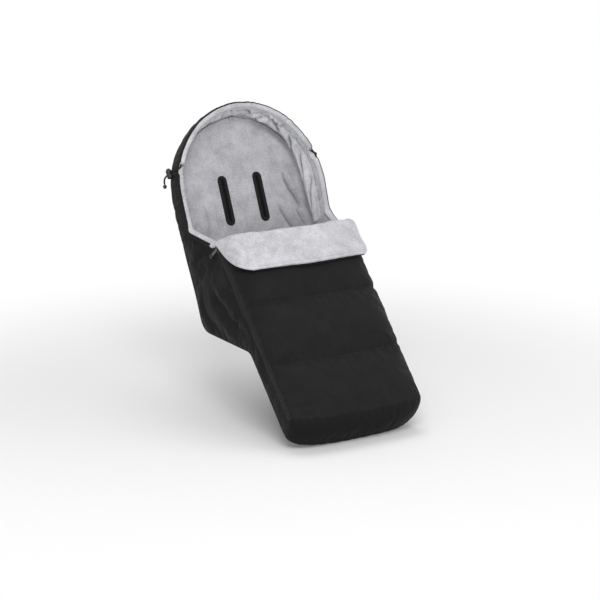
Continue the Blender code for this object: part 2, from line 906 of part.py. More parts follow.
def cord_side_points():
    """Points of the drawcord on the right, from the channel's end outward."""
    points = [channel_line[0] + channel_out * (cord_bend * ahead) + cord_outward
              * (cord_bend * out) + Vector((0, 0, -cord_bend * down))
              for ahead, out, down in cord_bend_shares]
    run_end = points[-1] + cord_run_direction * cord_run_length
    points.append(points[-1] + cord_run_direction * (cord_run_length / 2))
    points.append(run_end)
    points += [run_end + Vector(p) * cord_tail_length for p in cord_tail_shares]
    return points


def make_drawcord():
    side = cord_side_points()
    points = side[::-1] + channel_line + mirrored(side)
    cord = tube_object("drawcord", points, cord_radius, black_tape)
    cord.matrix_world = back_frame


make_drawcord()


def turned(name, profile, material, steps=16):
    """Solid turned about its local Z from a profile of radius and height, top to bottom."""
    mesh = bpy.data.meshes.new(name)
    verts = [(radius, 0, height) for radius, height in profile]
    closed = profile[0] == profile[-1]
    if closed:
        verts = verts[:-1]
    edges = [(i, i + 1) for i in range(len(verts) - 1)]
    if closed:
        edges.append((len(verts) - 1, 0))
    mesh.from_pydata(verts, edges, [])
    thing = add_object(name, mesh, material)
    screw = thing.modifiers.new("turn", "SCREW")
    screw.axis = "Z"
    screw.steps = steps
    screw.render_steps = steps
    screw.use_merge_vertices = True
    screw.merge_threshold = weld_distance
    screw.use_normal_calculate = not closed
    return thing


def frame_along(place, direction, side_hint):
    """Frame whose local Z runs along a direction."""
    z = direction.normalized()
    x = side_hint - z * side_hint.dot(z)
    x.normalize()
    y = z.cross(x)
    return Matrix.Translation(place) @ Matrix((x, y, z)).transposed().to_4x4()


def make_eyelet(side, word):
    inner = cord_radius + cord_clearance
    top = eyelet_thickness / 2
    edge = eyelet_thickness / 4
    profile = [(inner, top), (eyelet_radius - edge, top), (eyelet_radius, top - edge),
               (eyelet_radius, edge - top), (eyelet_radius - edge, -top), (inner, -top),
               (inner, top)]
    eyelet = turned(f"eyelet_{word}", profile, grey_metal)
    direction = channel_out
    place = channel_line[0] + direction * (eyelet_thickness / 2 + fit_gap)
    if side < 0:
        place, direction = mirrored([place, direction])
    eyelet.matrix_world = back_frame @ frame_along(place, direction, Vector((1, 0, 0)))


make_eyelet(-1, "left")
make_eyelet(1, "right")


# Cord locks: a barrel across the cord, with a button on a spring

def make_cord_lock(side, word):
    route = cord_side_points()
    run_start, tail_end = route[len(cord_bend_shares) - 1], route[-1]
    centre = run_start + cord_run_direction * lock_start
    cord_way = cord_run_direction.copy()
    press_way = Vector((0, -1, 0))
    press_way = (press_way - cord_way * press_way.dot(cord_way)).normalized()
    if side < 0:
        centre, cord_way, press_way = mirrored([centre, cord_way, press_way])
    frame = back_frame @ frame_along(centre, -press_way, cord_way)
    bore_radius = lock_radius - lock_wall
    high = lock_length * lock_cord_share
    low = high - lock_length
    floor = low + lock_wall
    edge = lock_wall / 2
    barrel = turned(f"cord_lock_{word}", [
        (0, floor), (bore_radius, floor), (bore_radius, high), (lock_radius - edge, high),
        (lock_radius, high - edge), (lock_radius, low + edge), (lock_radius - edge, low),
        (0, low)], black_plastic)
    barrel.matrix_world = frame
    button_radius = bore_radius - fit_gap
    passage = cord_radius + cord_clearance
    button_passage = cord_radius + button_cord_clearance
    button_low = -(button_passage + button_web)
    button_high = high + button_travel + 2 * fit_gap
    button = turned(f"cord_lock_button_{word}", [
        (0, button_high), (button_radius - edge, button_high), (button_radius, button_high - edge),
        (button_radius, button_low), (0, button_low)], black_plastic)
    button.matrix_world = frame
    across = Matrix.Rotation(math.pi / 2, 4, "Y")
    for target, half_slot, name, radius in ((barrel, 0.0, "barrel", passage),
                                            (button, button_travel / 2, "button",
                                             button_passage)):
        hole = flat_outline_object(f"cord_hole_{name}_{word}",
                                   stadium(2 * radius + 2 * half_slot, 2 * radius), 4 * lock_radius,
                                   None, guides)
        hole.matrix_world = (frame @ Matrix.Translation((0, 0, half_slot)) @ across
                             @ Matrix.Rotation(math.pi / 2, 4, "Z"))
        cut(target, hole)
    spring_top = button_low - fit_gap
    spring_bottom = floor + fit_gap
    spring_outer = button_radius
    spring = turned(f"cord_lock_spring_{word}", [
        (spring_outer - spring_wall, spring_top), (spring_outer, spring_top),
        (spring_outer, spring_bottom), (spring_outer - spring_wall, spring_bottom),
        (spring_outer - spring_wall, spring_top)], spring_steel, 12)
    spring.matrix_world = frame
    tail_way = (tail_end - route[-2]).normalized()
    if side < 0:
        tail_end, tail_way = mirrored([tail_end, tail_way])
    half = cord_end_length / 2
    cord_end = turned(f"cord_end_{word}", [
        (0, half), (cord_end_radius / 2, half), (cord_end_radius, half / 3),
        (cord_end_radius, -half / 2), (cord_end_radius / 2, -half), (0, -half)], black_plastic, 12)
    cord_end.matrix_world = back_frame @ frame_along(
        tail_end + tail_way * (half + fit_gap), tail_way, Vector((1, 0, 0)))
    return barrel, button, spring


lock_pieces = [make_cord_lock(side, word) for side, word in ((-1, "left"), (1, "right"))]


# Zip sliders and pulls

def box_object(name, low, high, material, collection=None):
    bm = bmesh.new()
    bmesh.ops.create_cube(bm, size=1)
    middle = (Vector(low) + Vector(high)) / 2
    size = Vector(high) - Vector(low)
    bmesh.ops.transform(bm, matrix=Matrix.Translation(middle) @ Matrix.Diagonal((*size, 1)),
                        verts=bm.verts)
    bmesh.ops.recalc_face_normals(bm, faces=bm.faces)
    mesh = bpy.data.meshes.new(name)
    bm.to_mesh(mesh)
    bm.free()
    return add_object(name, mesh, material, collection)


plate_inner_face = bead_thickness / 2 + slider_clearance
plate_outer_face = plate_inner_face + slider_plate
bridge_height = plate_outer_face + bridge_stand_off


def make_slider(side, word):
    """Two plates round the beads, joined by a post between them, and a bridge for the pull.

    The inner plate reaches under the cover's bead only, so that the cover lifts away with it.
    """
    frame = zip_frame @ Matrix.Translation((side * zip_half, 0, slider_start))
    half = slider_length / 2
    post_half = bead_parting / 2 - slider_clearance
    nose = half / 2

    def placed(low, high):
        first = Vector((side * low[0], low[1], low[2]))
        second = Vector((side * high[0], high[1], high[2]))
        return [min(a, b) for a, b in zip(first, second)], [max(a, b) for a, b in zip(first, second)]

    outline = [(-slider_half_width, nose), (-slider_half_width, -nose),
               (-slider_half_width * 2 / 3, -half), (slider_half_width * 2 / 3, -half),
               (slider_half_width, -nose), (slider_half_width, nose),
               (slider_half_width * 2 / 3, half), (-slider_half_width * 2 / 3, half)]
    slider = flat_outline_object(f"zip_slider_{word}", outline, slider_plate, grey_metal)
    plate_place = Matrix.Translation((side * (plate_inner_face + slider_plate / 2), 0, 0))
    turn = Matrix(((0, 0, 1, 0), (1, 0, 0, 0), (0, 1, 0, 0), (0, 0, 0, 1)))
    slider.matrix_world = frame @ plate_place @ turn
    overlap = slider_plate / 4
    post = box_object(f"slider_post_{word}",
                      *placed((-plate_inner_face - overlap, -post_half, overlap - half),
                              (plate_inner_face + overlap, post_half, -half / 3)), grey_metal)
    inner = box_object(f"slider_inner_plate_{word}",
                       *placed((-plate_outer_face, -post_half - overlap, -half),
                               (-plate_inner_face, slider_half_width, half)), grey_metal)
    lips = []
    for sign in (-1, 1):
        far = sign * (slider_half_width - overlap / 2)
        near = sign * (slider_half_width - slider_lip)
        lips.append(box_object(f"slider_lip_{word}_{sign}",
                               *placed((plate_inner_face - slider_lip, min(far, near), -nose),
                                       (plate_inner_face + overlap, max(far, near), nose)),
                               grey_metal))
    bridge_points = [(plate_inner_face + slider_plate / 2, 0, -bridge_half_length - bridge_radius),
                     (bridge_height - bridge_radius, 0, -bridge_half_length),
                     (bridge_height, 0, -bridge_half_length + bridge_radius),
                     (bridge_height, 0, bridge_half_length - bridge_radius),
                     (bridge_height - bridge_radius, 0, bridge_half_length),
                     (plate_inner_face + slider_plate / 2, 0, bridge_half_length + bridge_radius)]
    bridge = tube_object(f"slider_bridge_{word}",
                         [(side * x, y, z) for x, y, z in bridge_points], bridge_radius,
                         grey_metal, 1)
    for piece in (inner, post, *lips, bridge):
        piece.matrix_world = frame
        join(slider, piece)
    return slider


def make_pull(side, word):
    """Tab that hangs from the slider's bridge, with its eye round the bridge's bar."""
    eye_inner = bridge_radius + pull_eye_clearance
    eye_outer = eye_inner + pull_eye_wall
    pull = turned(f"zip_pull_{word}", [
        (eye_inner, pull_eye_width / 2), (eye_outer, pull_eye_width / 2),
        (eye_outer, -pull_eye_width / 2), (eye_inner, -pull_eye_width / 2),
        (eye_inner, pull_eye_width / 2)], grey_metal, 12)
    hinge = (zip_frame @ Matrix.Translation((side * (zip_half + bridge_height), 0, slider_start))
             @ Matrix.Rotation(side * pull_tilt, 4, "Z"))
    pull.matrix_world = hinge
    neck = eye_outer - pull_eye_wall / 2
    corner = pull_width / 4
    outline = [(-neck, pull_eye_width / 2), (-neck - pull_width / 2, pull_width / 2),
               (-pull_length + corner, pull_width / 2), (-pull_length, pull_width / 2 - corner),
               (-pull_length, -pull_width / 2 + corner), (-pull_length + corner, -pull_width / 2),
               (-neck - pull_width / 2, -pull_width / 2), (-neck, -pull_eye_width / 2)]
    window_half = pull_width / 2 - pull_eye_wall * 1.5
    window_start = -pull_length + corner + pull_window_length
    window = [(window_start, -window_half), (window_start, window_half),
              (window_start - pull_window_length, window_half),
              (window_start - pull_window_length, -window_half)]
    tab = flat_outline_object(f"pull_tab_{word}", outline, pull_thickness, grey_metal,
                              holes=(window,))
    tab.matrix_world = hinge @ Matrix(((0, 0, 1, 0), (1, 0, 0, 0), (0, 1, 0, 0), (0, 0, 0, 1)))
    join(pull, tab)
    return pull


sliders, pulls = {}, {}
for side, word in ((-1, "left"), (1, "right")):
    sliders[word] = make_slider(side, word)
    pulls[word] = make_pull(side, word)

# Pocket behind the head

def pocket_point(across, share, depth):
    """Point of the pocket's cloth. It lies on the panel at its sewn edge and stands off below."""
    half = head_half - panel_inset - pocket_inset
    reach = head_top - head_arch_base - panel_inset - pocket_inset
    start = math.asin((pocket_bottom - head_arch_base) / reach)
    angle = start + (pocket_arch - start) * share
    up = head_arch_base + reach * math.sin(angle)
    width = half * math.cos(angle)
    fullness = pocket_fullness * (1 - across ** 2) ** 0.75 * math.cos(share * math.pi / 2) ** 0.5
    return back_point(width * across, up, -(fit_gap + fullness + depth))


def make_pocket():
    def grid(depth):
        return [[pocket_point(2 * j / pocket_columns - 1, i / pocket_rows, depth)
                 for j in range(pocket_columns + 1)] for i in range(pocket_rows + 1)]
    make_layer("head_pocket", grid(pocket_thickness), grid(0.0), black_cloth)
    hem = []
    for j in range(pocket_columns + 1):
        place = back_frame.inverted() @ pocket_point(2 * j / pocket_columns - 1, 0,
                                                     pocket_thickness / 2)
        lowest = -(hem_radius + fit_gap)
        hem.append(Vector((place.x, place.y - hem_radius - fit_gap, min(place.z, lowest))))
    elastic = tube_object("pocket_elastic", hem, hem_radius, black_tape, 1)
    elastic.matrix_world = back_frame


make_pocket()


# Joint axes: each moving piece hangs on an empty that stands on its axis

def make_axis(name, place, parent=None):
    empty = bpy.data.objects.new(name, None)
    parts.objects.link(empty)
    empty.location = place
    bpy.context.view_layer.update()
    if parent:
        hang(empty, parent)
    return empty


def hang(thing, parent):
    """Parent a piece without moving it."""
    bpy.context.view_layer.update()
    thing.parent = parent
    thing.matrix_parent_inverse = parent.matrix_world.inverted()


def foot_seam_axis():
    """The foot seam turns about its lowest and outermost line, so that it opens without closing in."""
    edge = [zip_frame.inverted() @ cover_place(2 * j / cover_columns - 1, 1.0, 0.0)
            for j in range(cover_columns + 1)]
    return zip_point(0, max(p.y for p in edge), max(p.z for p in edge) + seam_gap / 2)


def collar_axis():
    """The collar turns about a line through the lower corners at its two ends."""
    depth = stack_depths(collar_wadding)[2][1] + collar_seat
    corner = zip_frame.inverted() @ cover_place(collar_reach_share, 0.0, depth)
    return zip_point(0, corner.y - collar_seat, corner.z)


cover_axis = make_axis("cover_axis", foot_seam_axis())
for piece in cover_pieces:
    hang(piece, cover_axis)
collar_hinge = make_axis("collar_axis", collar_axis(), cover_axis)
for piece in collar_pieces:
    hang(piece, collar_hinge)
for side, word in ((-1, "left"), (1, "right")):
    hang(sliders[word], cover_axis)
    pull_axis = make_axis(f"pull_axis_{word}",
                          zip_point(side * (zip_half + bridge_height), 0, slider_start),
                          sliders[word])
    hang(pulls[word], pull_axis)
for barrel, button, spring in lock_pieces:
    hang(button, barrel)
    hang(spring, barrel)
bpy.context.view_layer.update()
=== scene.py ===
"""Looks of the padded stroller footmuff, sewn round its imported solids.

Metres, +Z up, feet towards -Y, the origin under the middle of the seat section. The shapes follow the
same sizes as the solids. Each padded wall is an outer cloth and a plush lining whose edges turn in and
meet, puffed by a short cloth simulation between its stitched lines.
"""
import math

import bpy
import numpy as np
from mathutils import Matrix, Vector, noise


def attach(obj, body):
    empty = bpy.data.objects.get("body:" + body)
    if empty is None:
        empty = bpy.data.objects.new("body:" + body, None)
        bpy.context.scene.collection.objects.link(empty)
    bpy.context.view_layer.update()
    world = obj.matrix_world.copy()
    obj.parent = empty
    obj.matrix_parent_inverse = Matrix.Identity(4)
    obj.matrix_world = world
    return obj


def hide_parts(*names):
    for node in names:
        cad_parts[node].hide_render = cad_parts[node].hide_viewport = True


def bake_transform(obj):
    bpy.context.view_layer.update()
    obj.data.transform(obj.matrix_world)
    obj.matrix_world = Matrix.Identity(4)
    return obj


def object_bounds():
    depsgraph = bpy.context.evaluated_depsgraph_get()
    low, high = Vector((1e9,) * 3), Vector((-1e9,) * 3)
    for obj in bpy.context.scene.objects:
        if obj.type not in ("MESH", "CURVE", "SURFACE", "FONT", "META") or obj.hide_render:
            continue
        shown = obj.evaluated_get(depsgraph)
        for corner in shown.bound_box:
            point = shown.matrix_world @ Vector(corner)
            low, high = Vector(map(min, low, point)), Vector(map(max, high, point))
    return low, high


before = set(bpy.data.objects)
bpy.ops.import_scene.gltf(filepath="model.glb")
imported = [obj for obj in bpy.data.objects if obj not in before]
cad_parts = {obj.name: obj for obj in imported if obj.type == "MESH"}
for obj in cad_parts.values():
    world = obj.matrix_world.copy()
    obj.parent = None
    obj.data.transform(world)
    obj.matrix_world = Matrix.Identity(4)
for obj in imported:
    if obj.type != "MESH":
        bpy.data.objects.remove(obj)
cad_low, cad_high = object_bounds()
scene = bpy.context.scene

# Shape on the seat
seat_length = 0.210
leg_length = 0.247
head_top = 0.466
recline = math.radians(24)
leg_drop = math.radians(46)
knee_radius = 0.030
crease_radius = 0.045

# Layers
shell_thickness = 0.0015
lining_thickness = 0.0048
panel_wadding = 0.0115
wall_wadding = 0.0062
layer_gap = 0.0004
seam_gap = 0.0005
fit_gap = 0.0003
lining_crown = 0.0030

# Visible cloths, and how their edges turn in
cloth_thickness = 0.0013
plush_thickness = 0.0030
tape_thickness = 0.0008
edge_turn = 0.0035
edge_turn_steps = 4
base_turn = 0.0012
base_turn_share = 0.96

# Wall
leg_half = 0.1640
head_half = 0.1690
head_arch_base = 0.300
widening_start = 0.060
foot_corner_power = 3.0
wall_lift = 0.0005
rim_half = 0.190
rim_top = 0.497
rim_side_height = 0.070
rim_top_height = 0.080
rim_end = 0.215
rim_end_half = 0.187
rim_end_height = 0.066
hood_seam = 0.200
leg_belly = 0.0070
head_belly = 0.0120
foot_belly = 0.0080
foot_fullness_shares = (0.25, 0.72)

# Zips, cover and collar
zip_top_y = 0.037
zip_top_z = 0.212
zip_length = 0.450
zip_drop = math.radians(45.7)
zip_half = 0.1645
strip_edge = 0.009
side_top_half = 0.1655
cover_half = 0.1660
cover_power = 2.6
cover_crown = 0.058
cover_crown_shares = ((0.0, 0.93), (0.20, 1.0), (0.365, 0.87), (0.53, 0.82), (0.695, 0.58),
                      (0.85, 0.45), (1.0, 0.31))
quilt_line_shares = (0.365, 0.695)
cover_top_side = 0.012
cover_top_middle = 0.031
cover_end_droop = 0.016
collar_length = 0.087
collar_cover_share = 0.21
collar_reach_share = 0.92
collar_corner_share = 0.150
collar_pulled_in_share = 0.13
collar_rounding = 0.13
collar_corner_turn = 0.10
collar_lift = 0.008
collar_seat = 0.0012

# Slots
shoulder_slot_x = 0.046
shoulder_slot_back = 0.285
shoulder_slot_length = 0.110
waist_slot_x = 0.098
waist_slot_back = 0.080
waist_slot_length = 0.060
crotch_slot_y = -0.045
crotch_slot_length = 0.060
slot_width = 0.016

# Rim, channel and drawcord
channel_radius = 0.0055
channel_end = 0.370
binding_start = 0.351
cord_radius = 0.0020
eyelet_thickness = 0.0018
cord_bend = 0.0178
cord_bend_shares = ((0.392, 0.074, 0.013), (0.60, 0.245, 0.064), (0.77, 0.50, 0.216),
                    (0.91, 0.76, 0.469), (1.0, 0.88, 0.792))
cord_run_length = 0.0340
cord_run_shares = (0.0, -0.16, -0.98)
cord_tail_length = 0.0145
cord_tail_shares = ((0.04, -0.22, -0.34), (0.055, -0.59, -0.52), (0.055, -1.0, -0.59))

# Head pocket
pocket_arch = math.radians(80)
pocket_bottom = 0.352
pocket_inset = 0.010
pocket_fullness = 0.022
pocket_thickness = 0.0011
hem_radius = 0.0022

wall_total = shell_thickness + wall_wadding + lining_thickness + 2 * layer_gap
panel_total = shell_thickness + panel_wadding + lining_thickness + 2 * layer_gap
panel_inset = wall_total + 2 * seam_gap
back_lean = math.pi / 2 - recline
knee_tangent = knee_radius * math.tan(leg_drop / 2)
crease_tangent = crease_radius * math.tan(back_lean / 2)
knee_start = leg_length - knee_tangent
knee_end = knee_start + knee_radius * leg_drop
crease_start = knee_end + seat_length - knee_tangent - crease_tangent
crease_end = crease_start + crease_radius * back_lean
UP = np.array((0.0, 0.0, 1.0))
ALL_EDGES = ("first_row", "last_row", "first_column", "last_column")
UPPER_EDGES = ("first_row", "last_row", "last_column")
both_sides = ((-1, "left"), (1, "right"))
square_corners = ((-1, -1), (1, -1), (1, 1), (-1, 1))


# Places, as arrays of points

def framed(matrix, x, y, z):
    """Points of a frame's local coordinates, as one array whose last axis is x, y, z."""
    local = np.stack(np.broadcast_arrays(x, y, z), -1).astype(float)
    grid = np.array(matrix)
    return local @ grid[:3, :3].T + grid[:3, 3]


def unframed(matrix, points):
    inverse = np.array(matrix.inverted())
    return points @ inverse[:3, :3].T + inverse[:3, 3]


def unit(vectors):
    return vectors / np.maximum(np.linalg.norm(vectors, axis=-1, keepdims=True), 1e-12)


def smooth(value):
    value = np.clip(value, 0.0, 1.0)
    return value * value * (3 - 2 * value)


def signed_power(value, power):
    return np.sign(value) * np.abs(value) ** power


back_frame = Matrix.Translation((0, seat_length / 2, 0)) @ Matrix.Rotation(back_lean, 4, "X")
leg_frame = (Matrix.Translation((0, -seat_length / 2, 0)) @ Matrix.Rotation(leg_drop, 4, "X")
             @ Matrix.Translation((0, -leg_length, 0)))
zip_frame = (Matrix.Translation((0, zip_top_y, zip_top_z))
             @ Matrix(((1, 0, 0, 0),
                       (0, -math.sin(zip_drop), -math.cos(zip_drop), 0),
                       (0, math.cos(zip_drop), -math.sin(zip_drop), 0),
                       (0, 0, 0, 1))))

profile_step = 0.0005
profile_length = 1.0
profile_along = np.arange(0.0, profile_length, profile_step)
profile_heading = np.interp(profile_along, (knee_start, knee_end, crease_start, crease_end),
                            (leg_drop, 0.0, 0.0, back_lean))
half_heading = np.interp(profile_along[:-1] + profile_step / 2, profile_along, profile_heading)
profile_y = -seat_length / 2 - leg_length * math.cos(leg_drop) + np.concatenate(
    ([0.0], np.cumsum(np.cos(half_heading)) * profile_step))
profile_z = -leg_length * math.sin(leg_drop) + np.concatenate(
    ([0.0], np.cumsum(np.sin(half_heading)) * profile_step))


def panel(x, along, off):
    """Points off the panel's underside, by distance along the seated profile from the foot."""
    x, along, off = np.broadcast_arrays(x, along, off)
    heading = np.interp(along, profile_along, profile_heading)
    y = np.interp(along, profile_along, profile_y) - np.sin(heading) * off
    z = np.interp(along, profile_along, profile_z) + np.cos(heading) * off
    return np.stack((x, y, z), -1)


def back_distance(length):
    return crease_end + length - crease_tangent


def leg_distance_at(down):
    foot = unframed(zip_frame, panel(0.0, 0.0, 0.0))[2]
    return (foot - down) / math.cos(leg_drop - zip_drop)


foot_reach = leg_distance_at(zip_length)
neck_distance = back_distance(hood_seam)
zip_top_distance = back_distance(widening_start + crease_tangent)
knee_middle = (knee_start + knee_end) / 2
knee_down = unframed(zip_frame, panel(0.0, knee_middle, 0.0))[2]


def wall_half(along):
    start = back_distance(widening_start)
    return leg_half + (head_half - leg_half) * smooth((along - start) / (neck_distance - start))


def uprights(lower, upper, outward, belly, v, shares=(0.5, 0.5)):
    """A wall between two edges: curves pulled outward by the belly, one for each pair of points."""
    middle = lower + (upper - lower) * shares[0]
    middle[..., 2] = lower[..., 2] + (upper[..., 2] - lower[..., 2]) * shares[1]
    pull = middle + outward * np.asarray(belly)[..., None]
    v = np.asarray(v)[None, :, None]
    return (lower[:, None] * (1 - v) ** 2 + pull[:, None] * 2 * v * (1 - v) + upper[:, None] * v ** 2)


def side_wall(along, side, v, depth):
    """Side wall: rows from the foot to the hood's seam, columns from its lower edge upward."""
    lower = panel(side * (wall_half(along) - depth), along, wall_lift)
    share = np.clip((along - foot_reach) / (knee_middle - foot_reach), 0, 1)
    low_down = zip_length + (knee_down - zip_length) * share
    high_down = knee_down * (1 - (along - knee_middle) / (zip_top_distance - knee_middle))
    down = np.where(along < knee_middle, low_down, high_down)
    rise = -strip_edge - fit_gap
    upper = framed(zip_frame, side * (side_top_half - depth), rise, np.maximum(down, 0.0))
    past = np.clip((along - zip_top_distance) / (neck_distance - zip_top_distance), 0, 1)
    top = framed(zip_frame, side * (side_top_half - depth), rise, 0.0)
    end = framed(back_frame, side * (rim_end_half - depth), rim_end, rim_end_height)
    upper = np.where((past > 0)[:, None], top + (end - top) * past[:, None], upper)
    belly = leg_belly + (head_belly - leg_belly) * smooth(along / neck_distance * past ** 0.5)
    return uprights(lower, upper, np.array((side, 0.0, 0.0)), belly, v)


hood_straight_share = 0.15


def hood_edge(share, half, base_half, start, top, depth):
    """Place across and up the back along one edge of the hood, right to left."""
    way = np.clip(np.minimum(share, 1 - share) / hood_straight_share, 0, 1)
    side = np.where(share < 0.5, 1.0, -1.0)
    across = side * (base_half + (half - base_half) * np.sin(way * math.pi / 2) - depth)
    up = start + (head_arch_base - start) * way
    angle = math.pi * np.clip((share - hood_straight_share) / (1 - 2 * hood_straight_share), 0, 1)
    arch = (share > hood_straight_share) & (share < 1 - hood_straight_share)
    return (np.where(arch, (half - depth) * np.cos(angle), across),
            np.where(arch, head_arch_base + (top - depth - head_arch_base) * np.sin(angle), up),
            angle, way, arch)


def hood_rim(share, depth, lift=0.0):
    """Points along the hood's free edge, in the frame of the back."""
    x, up, angle, way, arch = hood_edge(share, rim_half, rim_end_half, rim_end + seam_gap, rim_top,
                                        depth)
    height = np.where(arch, rim_side_height + (rim_top_height - rim_side_height)
                      * np.sin(angle) ** 2,
                      rim_end_height + (rim_side_height - rim_end_height) * way)
    return np.stack((x, up, height + lift), -1)


def hood_wall(share, v, depth):
    """Hood: rows round the arch from right to left, columns from its lower edge to its rim."""
    x, up, *_ = hood_edge(share, head_half, wall_half(neck_distance), hood_seam + seam_gap / 2,
                          head_top, depth)
    lower = np.stack((x, up, np.full_like(x, wall_lift)), -1)
    upper = hood_rim(share, depth)
    outward = unit(np.stack((upper[:, 0], np.maximum(upper[:, 1] - head_arch_base, 0),
                             np.zeros_like(x)), -1))
    points = uprights(lower, upper, outward, np.full_like(x, head_belly), v)
    return framed(back_frame, points[..., 0], points[..., 1], points[..., 2])


def cover_ends(wide):
    top = cover_top_middle + (cover_top_side - cover_top_middle) * np.abs(wide) ** 2.5
    return top, zip_length + cover_end_droop * (1 - np.abs(wide) ** 4)


def table_value(table, share):
    """Smooth value between the rows of a table of shares."""
    share = np.asarray(share, float)
    value = np.full_like(share, table[-1][1])
    for (low, first), (high, second) in reversed(list(zip(table, table[1:]))):
        here = first + (second - first) * smooth((share - low) / (high - low))
        value = np.where(share <= high, here, value)
    return value


def cover_place(across, share, depth, down_shift=0.0):
    """Points of the cover by their share across, share of its length and depth inside."""
    angle = across * math.pi / 2
    wide = signed_power(np.sin(angle), 2 / cover_power)
    high = np.abs(np.cos(angle)) ** (2 / cover_power) * (np.abs(across) < 1)
    top, end = cover_ends(wide)
    crown = cover_crown * table_value(cover_crown_shares, np.clip(share, 0, 1))
    return framed(zip_frame, (cover_half - depth) * wide,
                  strip_edge + fit_gap + (crown - depth) * high,
                  top + (end - top) * share + down_shift)


def foot_wall(across, v, depth):
    """Foot end: rows from one side to the other, columns from the panel up to the foot seam."""
    angle = across * math.pi / 2
    wide = signed_power(np.sin(angle), 2 / foot_corner_power)
    deep = np.abs(np.cos(angle)) ** (2 / foot_corner_power) * (np.abs(across) < 1)
    reach = leg_distance_at(zip_length + seam_gap / 2)
    lower = np.stack(((leg_half - depth) * wide, reach - (reach - depth) * deep,
                      np.full_like(wide, wall_lift)), -1)
    upper = unframed(leg_frame, cover_place(across, 1.0, depth, down_shift=seam_gap))
    outward = unit(np.stack((wide, -deep, np.zeros_like(wide)), -1))
    points = uprights(lower, upper, outward, np.full_like(wide, foot_belly), v,
                      foot_fullness_shares)
    return framed(leg_frame, points[..., 0], points[..., 1], points[..., 2])


def even_columns(count, power, wide_size, high_size):
    """Shares across whose points lie evenly along a rounded section."""
    angle = np.sign(np.linspace(-1, 1, 8001)) * np.abs(np.linspace(-1, 1, 8001)) ** (power / 2)
    angle = np.clip(angle, -1, 1)
    x = wide_size * signed_power(np.sin(angle * math.pi / 2), 2 / power)
    y = high_size * np.abs(np.cos(angle * math.pi / 2)) ** (2 / power)
    length = np.concatenate(([0.0], np.cumsum(np.hypot(np.diff(x), np.diff(y)))))
    even = np.interp(np.linspace(0, length[-1], count + 1), length, angle)
    even[0], even[-1] = -1.0, 1.0
    return even


def collar_wall(turns, shares, reach_column, radius):
    """Collar: rows from its root under the cover's top edge, round the fold and down the flap.

    The flap's left end is pulled in a little further than its right end.
    """
    down = np.concatenate((-radius * np.cos(turns), collar_length * shares))[:, None]
    rise = np.concatenate((radius * np.sin(turns), np.full_like(shares, radius)))[:, None]
    share = np.concatenate((np.zeros_like(turns), shares))[:, None]
    reach = collar_reach_share - collar_corner_share * share ** 2 - collar_rounding * share ** 6
    on_left = reach_column[None, :] < 0
    reach = reach - np.where(on_left, collar_pulled_in_share * share,
                             collar_corner_turn * smooth((share - 0.40) / 0.60))
    across = reach_column[None, :] * reach
    wide = signed_power(np.sin(across * math.pi / 2), 2 / cover_power)
    top, end = cover_ends(wide)
    drop = (end - top) * share * collar_cover_share
    stand = collar_lift * share ** 2 * (1 - np.abs(across) ** 3)
    return cover_place(across, share * collar_cover_share, -(rise + stand + collar_seat),
                       down_shift=down - drop - fit_gap)


# Sheets of cloth, as grids of points

def grid_lengths(points):
    """Distance of each row and each column from the first, along the cloth."""
    down = np.linalg.norm(np.diff(points, axis=0), axis=-1).mean(axis=1)
    over = np.linalg.norm(np.diff(points, axis=1), axis=-1).mean(axis=0)
    return np.concatenate(([0.0], np.cumsum(down))), np.concatenate(([0.0], np.cumsum(over)))


def cloth_places(points):
    """Distance down and across the cloth, for each of its points."""
    return np.meshgrid(*grid_lengths(points), indexing="ij")


def run_lengths(line):
    """Distance of each point from the first, along a line of points."""
    return np.concatenate(([0.0], np.cumsum(np.linalg.norm(np.diff(line, axis=0), axis=1))))


def grid_normals(points, facing=1):
    rows = np.gradient(points, axis=0)
    columns = np.gradient(points, axis=1)
    return unit(np.cross(rows, columns)) * facing


def lifted(points, lift, facing=1):
    """Points moved off the sheet, towards the side it faces."""
    return points + grid_normals(points, facing) * lift[..., None]


def field(points, size, seed):
    """Smooth noise from -1 to 1 at each point, in lumps of this size."""
    flat = points.reshape(-1, 3) / size + seed * 7.31
    values = [noise.noise(Vector(p)) for p in flat]
    return np.array(values).reshape(points.shape[:-1])


def wave_noise(distance, size, seed):
    """Smooth noise from -1 to 1 along a distance."""
    return np.array([noise.noise(Vector((d / size, seed * 3.7, 0.0))) for d in np.ravel(distance)]
                    ).reshape(np.shape(distance))


def puckers(distance, from_line, spacing, depth, reach, seed):
    """Pleats that a row of stitches draws in: they run across it and fade away from it."""
    warp = distance + spacing * 0.8 * wave_noise(distance, spacing * 2.2, seed)
    strength = 0.55 + 0.45 * wave_noise(distance, spacing * 3.1, seed + 5)
    valley = (0.5 - 0.5 * np.cos(2 * math.pi * warp / spacing)) ** 2.2
    return -depth * strength * valley * np.exp(-np.abs(from_line) / reach)


def groove(from_line, depth, width):
    return -depth * np.exp(-(from_line / width) ** 2)


